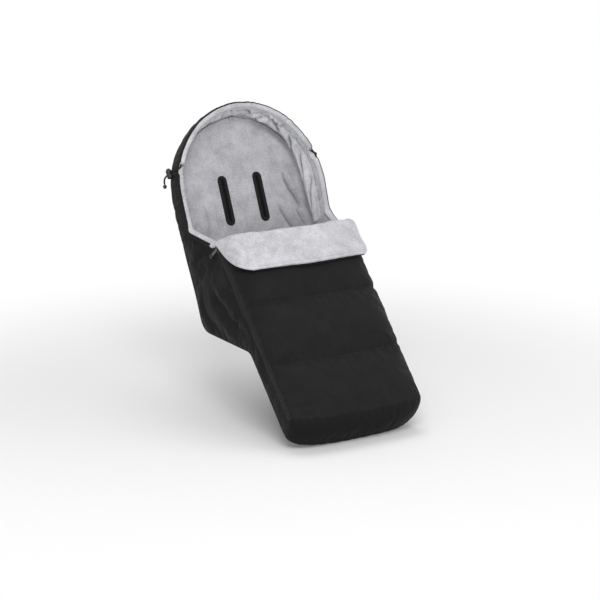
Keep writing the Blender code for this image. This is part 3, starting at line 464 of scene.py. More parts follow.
def crease(down, over, path, width, depth, puff=0.8):
    """Fold along a path of places on the sheet, fading at both ends, with a puff on its left side."""
    path = np.array(path, float)
    for _ in range(3):
        cut = np.stack((path[:-1] * 0.75 + path[1:] * 0.25, path[:-1] * 0.25 + path[1:] * 0.75), 1)
        path = np.concatenate((path[:1], cut.reshape(-1, 2), path[-1:]))
    best = np.full(down.shape, np.inf)
    side, fade = np.zeros(down.shape), np.zeros(down.shape)
    total = np.linalg.norm(np.diff(path, axis=0), axis=1)
    done = 0.0
    for first, second, span in zip(path, path[1:], total):
        way = (second - first) / span
        off_down, off_over = down - first[0], over - first[1]
        t = np.clip((off_down * way[0] + off_over * way[1]) / span, 0, 1)
        gap = np.hypot(off_down - way[0] * span * t, off_over - way[1] * span * t)
        place = (done + t * span) / total.sum()
        closer = gap < best
        best = np.where(closer, gap, best)
        side = np.where(closer, np.sign(way[0] * off_over - way[1] * off_down), side)
        fade = np.where(closer, smooth(place / 0.3) * smooth((1 - place) / 0.3), fade)
        done += span
    valley = np.exp(-(best / width) ** 2)
    ridge = np.exp(-((best - 2.0 * width) / (1.5 * width)) ** 2)
    return depth * fade * (ridge * np.where(side > 0, puff, 0.25) - valley)


def turn_edge(sheet, middle, axis, last, reach):
    """Turn one edge of a wall's sheet in, round to the middle of the wall."""
    s, m = np.moveaxis(sheet, axis, 0), np.moveaxis(middle, axis, 0)
    if not last:
        s, m = s[::-1], m[::-1]
    way = unit(m[-1] - m[-2])
    new_s, new_m = [s], [m]
    for angle in np.linspace(0, math.pi / 2, edge_turn_steps + 1)[1:]:
        out = m[-1] + way * reach * math.sin(angle)
        new_m.append(out[None])
        new_s.append((out + (s[-1] - m[-1]) * math.cos(angle))[None])
    s, m = np.concatenate(new_s), np.concatenate(new_m)
    if not last:
        s, m = s[::-1], m[::-1]
    return np.moveaxis(s, 0, axis), np.moveaxis(m, 0, axis)


def turned_in(sheet, other, edges, reach=edge_turn, share=0.5):
    """A wall's sheet with the named edges turned in, by a share of the way to the wall's far side."""
    middle = sheet + (other - sheet) * share
    for edge in edges:
        axis, last = {"first_row": (0, False), "last_row": (0, True),
                      "first_column": (1, False), "last_column": (1, True)}[edge]
        sheet, middle = turn_edge(sheet, middle, axis, last, reach)
    return sheet


def mesh_object(name, places, faces, smooth=False):
    """Linked object with a mesh of these places and faces."""
    mesh = bpy.data.meshes.new(name)
    mesh.from_pydata(np.reshape(places, (-1, 3)).tolist(), [], faces)
    if smooth:
        mesh.shade_smooth()
    thing = bpy.data.objects.new(name, mesh)
    scene.collection.objects.link(thing)
    return thing


def rod_faces(base, rings):
    """Faces of a closed rod of rings with four corners, whose points start at this number."""
    faces = []
    for ring in range(base, base + 4 * (rings - 1), 4):
        for k in range(4):
            one, two = ring + k, ring + (k + 1) % 4
            faces.append((one, two, two + 4, one + 4))
    last = base + 4 * (rings - 1)
    return faces + [(base + 3, base + 2, base + 1, base), (last, last + 1, last + 2, last + 3)]


def grid_object(name, points, facing, painted_fold_shade=None):
    """Mesh of a grid of points, with an optional amount of painted shade at each point for its
    material.
    """
    rows, columns = points.shape[:2]
    index = np.arange(rows * columns).reshape(rows, columns)
    corners = [index[:-1, :-1], index[1:, :-1], index[1:, 1:], index[:-1, 1:]]
    if facing < 0:
        corners.reverse()
    faces = np.stack(corners, -1).reshape(-1, 4)
    thing = mesh_object(name, points, faces.tolist())
    down, over = grid_lengths(points)
    places = np.stack(np.meshgrid(over, down), -1).reshape(-1, 2)
    layer = thing.data.uv_layers.new(name="cloth")
    layer.data.foreach_set("uv", places[faces.reshape(-1)].astype(np.float32).ravel())
    if painted_fold_shade is not None:
        depth = thing.data.attributes.new("painted_fold_shade", "FLOAT", "POINT")
        depth.data.foreach_set("value", np.clip(painted_fold_shade, 0, 1).astype(np.float32).ravel())
    return thing


def seen_mesh(thing):
    """New mesh of a thing as its modifiers or its thickness leave it."""
    seen = thing.evaluated_get(bpy.context.evaluated_depsgraph_get())
    return bpy.data.meshes.new_from_object(seen)


simulated_frames = 18


def settle(points, pinned, facing, pressure, grow, cap, stiff=12.0):
    """Puff a sheet and let its spare cloth crease between its pinned points."""
    thing = grid_object("settling", points, facing)
    group = thing.vertex_groups.new(name="pinned")
    weights = np.clip(pinned, 0, 1).ravel()
    for level in np.unique(weights.round(1)):
        if level > 0:
            members = np.flatnonzero(weights.round(1) == level)
            group.add(members.tolist(), float(level), "REPLACE")
    cloth = thing.modifiers.new("cloth", "CLOTH")
    settings = cloth.settings
    settings.quality = 5
    settings.mass = 0.15
    settings.tension_stiffness = stiff
    settings.compression_stiffness = stiff
    settings.shear_stiffness = stiff / 2
    settings.bending_stiffness = 0.6
    settings.air_damping = 2.0
    settings.vertex_group_mass = "pinned"
    settings.shrink_min = -grow
    settings.use_pressure = True
    settings.uniform_pressure_force = pressure
    settings.effector_weights.gravity = 0.0
    cloth.collision_settings.use_collision = False
    cloth.point_cache.frame_end = simulated_frames
    for number in range(1, simulated_frames + 1):
        scene.frame_set(number)
    seen = thing.evaluated_get(bpy.context.evaluated_depsgraph_get())
    moved = np.array([v.co for v in seen.data.vertices]).reshape(points.shape)
    bpy.data.objects.remove(thing, do_unlink=True)
    scene.frame_set(1)
    offset = moved - points
    length = np.linalg.norm(offset, axis=-1, keepdims=True)
    return points + offset * np.minimum(1.0, cap / np.maximum(length, 1e-9))


def edge_pins(shape, edges, soft=2):
    """Pins along the named edges of a grid, easing off over a few points."""
    rows = np.arange(shape[0])[:, None]
    columns = np.arange(shape[1])[None, :]
    far = {"first_row": rows, "last_row": shape[0] - 1 - rows,
           "first_column": columns, "last_column": shape[1] - 1 - columns}
    pins = np.zeros(shape[:2])
    for edge in edges:
        pins = np.maximum(pins, 1 - np.clip(far[edge] - 1, 0, soft) / soft + 0 * pins)
    return pins


def stitch_row(name, points, normals, pitch=0.0036, length=0.0024, radius=0.00032):
    """Row of stitches along a line on the cloth, as one mesh of short rods."""
    distance = run_lengths(points)
    verts, faces = [], []
    for start in np.arange(pitch, distance[-1] - pitch, pitch):
        ends = [np.array([np.interp(d, distance, points[:, k]) for k in range(3)])
                for d in (start, start + length)]
        out = unit(np.array([np.interp(start, distance, normals[:, k]) for k in range(3)]))
        side = np.cross(unit(ends[1] - ends[0]), out)
        faces += rod_faces(len(verts), 3)
        middle = (ends[0] + ends[1]) / 2 + out * radius * 0.9
        for place, size in ((ends[0], 0.5), (middle, 1.0), (ends[1], 0.5)):
            for a, b in square_corners:
                verts.append(place + (side * a + out * b) * radius * size)
    return mesh_object(name, verts, faces, smooth=True)


# Materials

def linear(colour):
    """Linear colour from an sRGB hex value."""
    parts = [int(colour[i:i + 2], 16) / 255 for i in (1, 3, 5)]
    return (*[c / 12.92 if c <= 0.04045 else ((c + 0.055) / 1.055) ** 2.4 for c in parts], 1.0)


def node(tree, kind, links=(), inputs=(), **settings):
    """Add a node, with its settings, its input values and what is linked into its inputs."""
    made = tree.nodes.new("ShaderNode" + kind)
    for name, value in settings.items():
        setattr(made, name, value)
    for name, value in dict(inputs).items():
        made.inputs[name].default_value = value
    for name, source in dict(links).items():
        tree.links.new(source, made.inputs[name])
    return made


def new_material(name, **inputs):
    """Material with constants on its shader's own inputs, whose names have _ for each space."""
    material = bpy.data.materials.new(name)
    material.use_nodes = True
    shader = material.node_tree.nodes["Principled BSDF"]
    for key, value in inputs.items():
        shader.inputs[key.replace("_", " ")].default_value = value
    return material, material.node_tree, shader


def add_bump(tree, shader, height, strength, distance):
    bump = node(tree, "Bump", {"Height": height}, {"Strength": strength, "Distance": distance})
    tree.links.new(bump.outputs["Normal"], shader.inputs["Normal"])


def vary_roughness(tree, shader, source, roughness, spread):
    rough = node(tree, "MapRange", {"Value": source}, {"To Min": roughness - spread,
                                                       "To Max": roughness + spread})
    tree.links.new(rough.outputs["Result"], shader.inputs["Roughness"])


def two_tone(tree, source, low, high, dark, light):
    """Colour ramp from a dark to a light tone between two values of a pattern."""
    ramp = node(tree, "ValToRGB", {"Fac": source})
    ramp.color_ramp.elements[0].position = low
    ramp.color_ramp.elements[0].color = linear(dark)
    ramp.color_ramp.elements[1].position = high
    ramp.color_ramp.elements[1].color = linear(light)
    return ramp.outputs["Color"]


def plush(name, dark, light):
    """Short pile plush: matte, with brushed patches and a fine nap that catches light at its edges.

    Its colour is darkened deep in folds and along seams that the mesh marks: painted shade. The nap's
    lumps are 2 to 4 mm across, coarser than real pile, so that they still show in a picture of the
    whole.
    """
    material, tree, shader = new_material(name, Roughness=0.95, Specular_IOR_Level=0.2,
                                          Sheen_Weight=0.35, Sheen_Roughness=0.5)
    place = node(tree, "TexCoord").outputs["Object"]
    patches = node(tree, "TexNoise", {"Vector": place}, {"Scale": 28.0, "Detail": 5.0,
                                                         "Roughness": 0.62}).outputs["Fac"]
    nap = node(tree, "TexNoise", {"Vector": place}, {"Scale": 420.0, "Detail": 3.0}).outputs["Fac"]
    tufts = node(tree, "TexVoronoi", {"Vector": place}, {"Scale": 260.0}).outputs["Distance"]
    mixed = node(tree, "Math", {0: patches, 1: nap}, operation="ADD").outputs[0]
    halved = node(tree, "Math", {0: mixed}, {1: 0.5}, operation="MULTIPLY").outputs[0]
    # Painted shade: the colour is darkened by the mesh's per-point amount, deep in folds and along
    # seams
    painted_fold_shade = node(tree, "Attribute", attribute_name="painted_fold_shade").outputs["Fac"]
    shade = node(tree, "MapRange", {"Value": painted_fold_shade}, {"To Min": 1.0, "To Max": 0.36})
    colour = node(tree, "HueSaturation", {"Color": two_tone(tree, halved, 0.36, 0.66, dark, light),
                                          "Value": shade.outputs["Result"]})
    tree.links.new(colour.outputs["Color"], shader.inputs["Base Color"])
    pile = node(tree, "Math", {0: nap, 1: tufts}, operation="ADD").outputs[0]
    add_bump(tree, shader, pile, 0.55, 0.0016)
    return material


def woven(name, dark, light, thread, roughness, depth, sheen):
    """Plain woven polyester: crossing threads, slight tone changes and soft worn highlights.

    The threads are drawn several times coarser than real ones, so that they still show.
    """
    material, tree, shader = new_material(name, Specular_IOR_Level=0.14, Sheen_Weight=sheen,
                                          Sheen_Roughness=0.45)
    place = node(tree, "TexCoord").outputs["UV"]
    warp, weft = (node(tree, "TexWave", {"Vector": place}, {"Scale": 1.0 / thread / 6.283,
                                                            "Distortion": 0.6, "Detail": 1.0},
                       bands_direction=way).outputs["Fac"] for way in "XY")
    cloth = node(tree, "Math", {0: warp, 1: weft}, operation="MULTIPLY").outputs[0]
    solid = node(tree, "TexCoord").outputs["Object"]
    tone = node(tree, "TexNoise", {"Vector": solid}, {"Scale": 22.0, "Detail": 6.0,
                                                      "Roughness": 0.6}).outputs["Fac"]
    mixed = node(tree, "Math", {0: cloth, 2: tone}, {1: 0.35}, operation="MULTIPLY_ADD")
    tree.links.new(two_tone(tree, mixed.outputs[0], 0.35, 0.95, dark, light),
                   shader.inputs["Base Color"])
    add_bump(tree, shader, cloth, 0.35, depth)
    vary_roughness(tree, shader, tone, roughness, 0.06)
    return material


def moulded(name, colour, roughness, grain, metallic=0.0):
    """Moulded or plated hard surface with a fine grain in its gloss."""
    material, tree, shader = new_material(name, Base_Color=linear(colour), Metallic=metallic)
    place = node(tree, "TexCoord").outputs["Object"]
    speck = node(tree, "TexNoise", {"Vector": place}, {"Scale": grain, "Detail": 4.0}).outputs["Fac"]
    vary_roughness(tree, shader, speck, roughness, 0.08)
    add_bump(tree, shader, speck, 0.2, 0.0002)
    return material


black_cloth = woven("matte black polyester", "#121213", "#1d1d1e", 0.0016, 0.78, 0.0004, 0.03)
coated_cloth = woven("coated black polyester", "#08080a", "#0e0e0f", 0.0016, 0.60, 0.0002, 0.0)
grey_plush = plush("grey short pile plush", "#939397", "#c0c0c4")
rim_plush = plush("gathered grey plush", "#9c9ca0", "#cbcbcf")
# Painted light: a lighter copy of the grey plush, for the collar that faces up
collar_plush_painted_light = plush("grey plush lightened as painted light on the collar", "#a0a0a5", "#d0d0d4")
# Painted light: a lighter copy of the grey plush, for the hood's walls that face away from the lamps
hood_plush_painted_light = plush("grey plush lightened as painted light on the hood", "#aaaaae", "#dadade")
black_tape = woven("black woven tape", "#0f0f10", "#1a1a1c", 0.0008, 0.65, 0.0003, 0.05)
black_plastic = moulded("black acetal", "#101012", 0.42, 900.0)
dark_nickel = moulded("dark nickel plated zinc", "#6d6d70", 0.34, 600.0, 1.0)
spring_steel = moulded("spring steel wire", "#a5a5a8", 0.3, 600.0, 1.0)
thread_black = moulded("black polyester thread", "#1d1d1f", 0.6, 900.0)
thread_grey = moulded("grey polyester thread", "#8d8d92", 0.7, 900.0)


def finish_piece(thing, material, body, replaced=()):
    thing.data.materials.clear()
    thing.data.materials.append(material)
    if body:
        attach(thing, body)
    if replaced:
        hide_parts(*replaced)
    return thing


def sheet_piece(name, points, facing, thickness, cutters=(), painted_fold_shade=None):
    """Cloth of a real thickness from a grid of points on its visible face."""
    thing = grid_object(name, points, facing, painted_fold_shade)
    solid = thing.modifiers.new("cloth", "SOLIDIFY")
    solid.thickness = thickness
    solid.offset = -1
    for cutter in cutters:
        hole = thing.modifiers.new("hole", "BOOLEAN")
        hole.operation = "DIFFERENCE"
        hole.solver = "EXACT"
        hole.object = cutter
    mesh = seen_mesh(thing)
    thing.modifiers.clear()
    thing.data = mesh
    mesh.shade_smooth()
    return thing


def line_curve(name, points, radius, rings=3):
    """Round line through points, as a linked curve."""
    curve = bpy.data.curves.new(name, "CURVE")
    curve.dimensions = "3D"
    curve.bevel_depth = radius
    curve.bevel_resolution = rings
    curve.use_fill_caps = True
    spline = curve.splines.new("POLY")
    spline.points.add(len(points) - 1)
    for point, place in zip(spline.points, points):
        point.co = (*place, 1)
    thing = bpy.data.objects.new(name, curve)
    scene.collection.objects.link(thing)
    return thing


def tube_piece(name, points, radius, rings=3):
    """Mesh of a round tube along a line of points."""
    line = line_curve(name, points, radius, rings)
    mesh = seen_mesh(line)
    bpy.data.objects.remove(line, do_unlink=True)
    mesh.shade_smooth()
    made = bpy.data.objects.new(name, mesh)
    scene.collection.objects.link(made)
    return made


def wall_cloth(name, points, inner, facing=1):
    """Outer cloth of a wall: its base turns in nearly to the lining, its other edges half way."""
    outer = turned_in(points, inner, ("first_column",), base_turn, base_turn_share)
    inner = np.concatenate([inner[:, :1]] * edge_turn_steps + [inner], axis=1)
    return sheet_piece(name, turned_in(outer, inner, UPPER_EDGES), facing, cloth_thickness)


def blend_all(pieces):
    for piece in pieces:
        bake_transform(piece)


# Cover: three puffed panels between two quilted lines

cover_across = even_columns(100, cover_power, cover_half, cover_crown * 0.8)
cover_rows = np.linspace(0.0, 1.0, 133)
cover_share_grid = cover_rows[:, None]
cover_outer = cover_place(cover_across[None, :], cover_share_grid, 0.0)
cover_inner = cover_place(cover_across[None, :], cover_share_grid, wall_total)
cover_down, cover_over = grid_lengths(cover_outer)
cover_span = cover_down[-1]


def make_cover():
    down, over = np.meshgrid(cover_down, cover_over, indexing="ij")
    edge_gap = np.minimum(over, cover_over[-1] - over)
    lift = np.zeros_like(down)
    pins = edge_pins(down.shape, ALL_EDGES)
    for number, share in enumerate(quilt_line_shares):
        gap = down - share * cover_span
        lift += groove(gap, 0.0050, 0.0060) * smooth(edge_gap / 0.020)
        lift += puckers(over, gap, 0.021, 0.0026, 0.015, 11 + number)
        pins = np.maximum(pins, 1 - np.clip(np.abs(gap) / 0.004, 0, 1))
    lift += puckers(down, edge_gap, 0.047, 0.0026, 0.022, 21)
    lift += puckers(over, cover_span - down, 0.026, 0.0020, 0.014, 25)
    lift += 0.0011 * field(cover_outer, 0.055, 3) + 0.0006 * field(cover_outer, 0.021, 4)
    points = settle(lifted(cover_outer, lift), pins, 1, 3.5, 0.022, 0.008)
    normals = grid_normals(points)
    for number, share in enumerate(quilt_line_shares):
        row = int(np.abs(cover_down - share * cover_span).argmin())
        stitches = stitch_row(f"cover_stitches_{number + 1}", points[row, 3:-3], normals[row, 3:-3])
        finish_piece(stitches, thread_black, "cover")
    outer = turned_in(points, cover_inner, ALL_EDGES)
    cloth = sheet_piece("cover_cloth", outer, 1, cloth_thickness)
    finish_piece(cloth, black_cloth, None, ("cover_shell", "cover_wadding"))
    inner_lift = 0.0016 * field(cover_inner, 0.05, 6) + 0.0008 * field(cover_inner, 0.018, 7)
    inner = lifted(cover_inner, inner_lift, -1)
    lining = sheet_piece("cover_plush", turned_in(inner, cover_outer, ALL_EDGES), -1, plush_thickness)
    finish_piece(lining, grey_plush, None, ("cover_lining",))
    return cloth, lining


cover_cloth, cover_plush = make_cover()
seam_rise = 0.027
seam_start, seam_end = (framed(zip_frame, 0.0, seam_rise, down) for down in (0.462, 0.438))
blend_all((cover_cloth, cover_plush))

# Collar: plush turned down over the cloth

collar_turns = np.radians(np.linspace(-90, 90, 25))
collar_shares = np.linspace(0.0, 1.0, 41)[1:]
collar_edge_turn = 0.0040
collar_backing_turn = 0.0080
collar_stitch_gap = 0.007
collar_fold_width = 0.0050
bend_rise = 0.05
bend_downs = (0.010, 0.120)

# Folds of the collar: the edge that they are measured from, places past the turn and in from that
# edge, and depth
collar_folds = (
    ("left", ((-0.006, 0.040), (0.024, 0.046), (0.062, 0.034)), 0.0050),
    ("left", ((0.014, 0.012), (0.040, 0.030), (0.078, 0.026)), 0.0050),
    ("left", ((-0.014, 0.072), (0.014, 0.082), (0.030, 0.100)), 0.0030),
    ("left", ((0.050, 0.050), (0.076, 0.072)), 0.0030),
    ("right", ((0.004, 0.040), (0.040, 0.056)), 0.0026),
    ("right", ((0.046, 0.022), (0.072, 0.046)), 0.0024),
)


def make_collar():
    column = even_columns(96, cover_power, cover_half, cover_crown)
    outer = collar_wall(collar_turns, collar_shares, column, fit_gap + wall_total)
    inner = collar_wall(collar_turns, collar_shares, column, fit_gap)
    down, over = cloth_places(outer)
    width = over[0, -1]
    lift = 0.0018 * field(outer, 0.06, 8) + 0.0009 * field(outer, 0.024, 9)
    lift += puckers(over, down[-1, 0] - down, 0.034, 0.0020, 0.010, 31)
    fold = down[len(collar_turns), 0]
    for edge, places, depth in collar_folds:
        path = [(fold + a, b if edge == "left" else width - b) for a, b in places]
        lift += crease(down, over, path, collar_fold_width, depth)
    points = settle(lifted(outer, lift), edge_pins(down.shape, ALL_EDGES), 1, 2.5, 0.016, 0.006)
    row = int(np.abs(down[-1, 0] - down[:, 0] - collar_stitch_gap).argmin())
    stitches = stitch_row("collar_stitches", points[row, 6:-6], grid_normals(points, 1)[row, 6:-6])
    finish_piece(stitches, thread_grey, None)
    edges = ("last_row", "first_column", "last_column")
    visible = sheet_piece("collar_plush", turned_in(points, inner, edges, collar_edge_turn), 1,
                          plush_thickness)
    finish_piece(visible, collar_plush_painted_light, None, ("collar_lining", "collar_wadding"))
    backing = sheet_piece("collar_cloth", turned_in(inner, outer, edges, collar_backing_turn),
                          -1, cloth_thickness)
    finish_piece(backing, black_cloth, None, ("collar_shell",))
    return visible, backing, stitches


collar_plush, collar_cloth, collar_stitches = make_collar()
roll_start, roll_end = (framed(zip_frame, 0.0, bend_rise, down) for down in bend_downs)
blend_all((collar_plush, collar_cloth, collar_stitches))

# Foot end

def make_foot():
    across = even_columns(110, foot_corner_power, leg_half, 0.05)
    v = np.linspace(0, 1, 33)
    outer = foot_wall(across, v, 0.0)
    inner = foot_wall(across, v, wall_total)
    down, over = cloth_places(outer)
    lift = puckers(down, over[0, -1] - over, 0.022, 0.0016, 0.010, 41)
    lift = lift + puckers(down, over, 0.026, 0.0014, 0.010, 42) + 0.0010 * field(outer, 0.05, 43)
    pins = edge_pins(down.shape, ALL_EDGES)
    cloth = wall_cloth("foot_cloth", settle(lifted(outer, lift), pins, 1, 3.0, 0.015, 0.006), inner)
    finish_piece(cloth, coated_cloth, "muff", ("foot_shell", "foot_wadding"))
    lining = sheet_piece("foot_plush", turned_in(inner[:, 1:], outer[:, 1:], UPPER_EDGES), -1,
                         plush_thickness)
    finish_piece(lining, grey_plush, "muff", ("foot_lining",))


make_foot()

# Sides

# Folds of the side walls: places along the wall from the zip's top and up it, width and depth
side_folds = (
    (((-0.040, 0.118), (-0.110, 0.108), (-0.170, 0.070), (-0.245, 0.035)), 0.0110, 0.0062),
    (((-0.080, 0.160), (-0.150, 0.128), (-0.205, 0.085)), 0.0090, 0.0050),
    (((-0.020, 0.060), (-0.080, 0.050), (-0.150, 0.022)), 0.0100, 0.0040),
    (((-0.010, 0.150), (0.020, 0.110), (0.030, 0.050)), 0.0100, 0.0040),
    (((-0.260, 0.060), (-0.310, 0.040), (-0.360, 0.028)), 0.0070, 0.0030),
    (((-0.200, 0.100), (-0.235, 0.078), (-0.270, 0.060)), 0.0060, 0.0034),
)


def make_side(side, word):
    start = leg_distance_at(zip_length - seam_gap / 2)
    along = np.linspace(start, neck_distance - seam_gap / 2, 150)
    v = np.linspace(0, 1, 49)
    outer = side_wall(along, side, v, 0.0)
    inner = side_wall(along, side, v, wall_total)
    down, over = cloth_places(outer)
    tall = np.linalg.norm(np.diff(outer, axis=1), axis=-1).cumsum(axis=1)
    tall = np.concatenate((np.zeros((len(along), 1)), tall), axis=1)
    top_gap = tall[:, -1:] - tall
    lift = puckers(down, top_gap, 0.024, 0.0018, 0.013, 51 + side)
    lift += puckers(down, tall, 0.030, 0.0014, 0.012, 54 + side)
    lift += 0.0030 * field(outer, 0.085, 57 + side) + 0.0018 * field(outer, 0.03, 58 + side)
    lift += 0.0007 * field(outer, 0.012, 59 + side)
    zip_row = down[np.searchsorted(along, zip_top_distance), 0]
    for places, width, depth in side_folds:
        lift += crease(down, tall, [(zip_row + a, b) for a, b in places], width, depth)
    lift *= smooth(tall / 0.006) * smooth(top_gap / 0.004)
    points = settle(lifted(outer, lift, side), edge_pins(down.shape, ALL_EDGES), side, 2.0, 0.02, 0.006)
    cloth = wall_cloth(f"side_cloth_{word}", points, inner, side)
    finish_piece(cloth, black_cloth, "muff",
                 (f"side_shell_{word}", f"side_wadding_{word}"))
    soft = 0.0014 * field(inner, 0.05, 61 + side) * smooth(tall / 0.006) * smooth(top_gap / 0.004)
    inner = lifted(inner, soft, -side)
    lining = sheet_piece(f"side_plush_{word}", turned_in(inner[:, 1:], outer[:, 1:], UPPER_EDGES),
                         -side, plush_thickness)
    finish_piece(lining, grey_plush, "muff", (f"side_lining_{word}",))


for piece_side, piece_word in both_sides:
    make_side(piece_side, piece_word)

# Hood, with the drawcord's channel stitched inside its rim

channel_line_share = 0.80
lining_first_column = 3
lining_deepest = 0.0080
lining_highest = 0.0120

# Where the back's lining rounds up on to the hood's wall: shares round it and of its height
round_up = ((0.0, 0.36), (0.05, 0.32), (0.10, 0.27), (0.16, 0.28), (0.23, 0.31), (0.30, 0.41),
            (0.365, 0.46), (0.408, 0.50), (0.468, 0.56), (0.53, 0.55), (0.60, 0.48), (0.70, 0.40),
            (0.80, 0.34), (1.0, 0.34))
round_shares, round_heights = np.array(round_up).T

# Folds of the hood's lining: places as shares round it from the right and of its height, depth
hood_folds = (
    (((0.315, 0.48), (0.325, 0.62), (0.355, 0.76), (0.40, 0.90)), 0.0075),
    (((0.445, 0.58), (0.437, 0.70), (0.450, 0.80), (0.470, 0.92)), 0.0070),
    (((0.510, 0.60), (0.500, 0.74), (0.515, 0.90)), 0.0055),
    (((0.415, 0.54), (0.400, 0.66), (0.395, 0.78)), 0.0055),
    (((0.235, 0.36), (0.255, 0.50), (0.275, 0.62), (0.300, 0.80)), 0.0065),
    (((0.130, 0.34), (0.165, 0.44), (0.210, 0.52), (0.235, 0.70)), 0.0065),
    (((0.030, 0.46), (0.070, 0.48), (0.115, 0.56), (0.150, 0.76)), 0.0060),
    (((0.570, 0.58), (0.560, 0.74), (0.575, 0.90)), 0.0045),
    (((0.680, 0.42), (0.660, 0.62), (0.670, 0.86)), 0.0040),
    (((0.800, 0.40), (0.810, 0.58), (0.830, 0.80)), 0.0036),
)


def make_hood():
    share = np.linspace(0, 1, 300)
    v = np.linspace(0, 1, 45)
    outer = hood_wall(share, v, 0.0)
    inner = hood_wall(share, v, wall_total)
    down, over = cloth_places(outer)
    height = over[0, -1]
    lift = puckers(down, height - over, 0.020, 0.0022, 0.022, 71)
    lift += puckers(down, over, 0.030, 0.0012, 0.012, 72)
    lift += 0.0016 * field(outer, 0.06, 73) + 0.0007 * field(outer, 0.024, 74)
    points = settle(lifted(outer, lift), edge_pins(down.shape, ALL_EDGES), 1, 1.5, 0.015, 0.005)
    cloth = wall_cloth("hood_cloth", points, inner)
    finish_piece(cloth, black_cloth, "muff", ("hood_shell", "hood_wadding"))
    share = np.linspace(0, 1, 440)
    v = np.linspace(0, 1, 65)
    inner = hood_wall(share, v, wall_total)
    outer_fine = hood_wall(share, v, 0.0)
    inner_down, inner_over = cloth_places(inner)
    height, length = inner_over[0, -1], inner_down[-1, 0]
    gather = 0.25 + 0.75 * smooth((0.72 - share) / 0.12) * smooth((share - 0.20) / 0.12)
    line = inner_over - channel_line_share * height
    soft = groove(line, 0.0034, 0.0024)
    soft += gather[:, None] * puckers(inner_down, line, 0.016, 0.0085, 0.012, 81)
    soft += gather[:, None] * puckers(inner_down, line, 0.034, 0.0080, 0.030, 82)
    soft += 0.0022 * field(inner, 0.035, 83) + 0.0010 * field(inner, 0.014, 84)
    strong = 0.22 + 0.78 * smooth((0.50 - share) / 0.12)[:, None]
    above = inner_over - height * np.interp(share, round_shares, round_heights)[:, None]
    above = above - 0.0030 * wave_noise(inner_down[:, 0], 0.06, 87)[:, None]
    roll = 0.75 + 0.5 * wave_noise(inner_down[:, 0], 0.05, 86)[:, None]
    soft += strong * (0.0065 * roll * np.exp(-((above - 0.013) / 0.008) ** 2)
                      + groove(above, 0.0030, 0.0045))
    folds = np.zeros_like(soft)
    for places, depth in hood_folds:
        path = [(a * length, b * height) for a, b in places]
        folds += crease(inner_down, inner_over, path, 0.0036, depth)
    # Painted shade: the plush is darkened deep in its folds, where the back's lining rounds up on to
    # the wall, and along the channel's stitch line
    painted_fold_shade = np.clip((-folds - 0.0008) / 0.0055, 0, 1) + strong * np.exp(-(above / 0.0030) ** 2)
    painted_fold_shade += 0.45 * np.exp(-(line / 0.0016) ** 2)
    soft += folds
    soft = np.where(soft < 0, -lining_deepest * np.tanh(-soft / lining_deepest),
                    lining_highest * np.tanh(soft / lining_highest))
    soft *= smooth(inner_over / 0.006)
    inner = lifted(inner, soft, -1)
    normals = grid_normals(inner, -1)
    column = int(np.abs(line[0]).argmin())
    stitches = stitch_row("hood_stitches", inner[:, column], normals[:, column])
    finish_piece(stitches, thread_grey, "muff")
    from_base = slice(lining_first_column, None)
    turned = turned_in(inner[:, from_base], outer_fine[:, from_base], UPPER_EDGES)
    painted_fold_shade = np.pad(painted_fold_shade[:, from_base], ((edge_turn_steps, edge_turn_steps), (0, edge_turn_steps)),
                    mode="edge")
    lining = sheet_piece("hood_plush", turned, -1, plush_thickness, painted_fold_shade=painted_fold_shade)
    finish_piece(lining, hood_plush_painted_light, "muff", ("hood_lining",))


make_hood()

# Rim: the channel's gathered edge, and the turned edge down to the neck and along it

rim_depth = wall_total / 2
channel_lift = channel_radius + fit_gap
roll_half_width = 0.0070
roll_half_height = 0.0060
pleat_pitch = 0.021
rim_cloth_from, rim_cloth_to = -115, 54
rim_cloth_off = 0.0011
rim_cloth_thickness = 0.0010


def arch_share_at(up):
    rise = (up - head_arch_base) / (rim_top - rim_depth - head_arch_base)
    return hood_straight_share + (1 - 2 * hood_straight_share) * math.asin(rise) / math.pi


def neck_line():
    """Two points just above the right side's free edge, from the zip to the rim's corner."""
    edge = side_wall(np.array((zip_top_distance,)), 1, np.array((0.0, 1.0)), rim_depth)[0, -1]
    start = unframed(back_frame, edge)
    corner = np.array((rim_end_half - rim_depth, rim_end, rim_end_height))
    along = unit(corner - start)
    rise = unit(UP - along * along[2])
    mitre = (rise + UP) / (1 + rise @ UP)
    return start + rise * channel_lift, corner + mitre * channel_lift


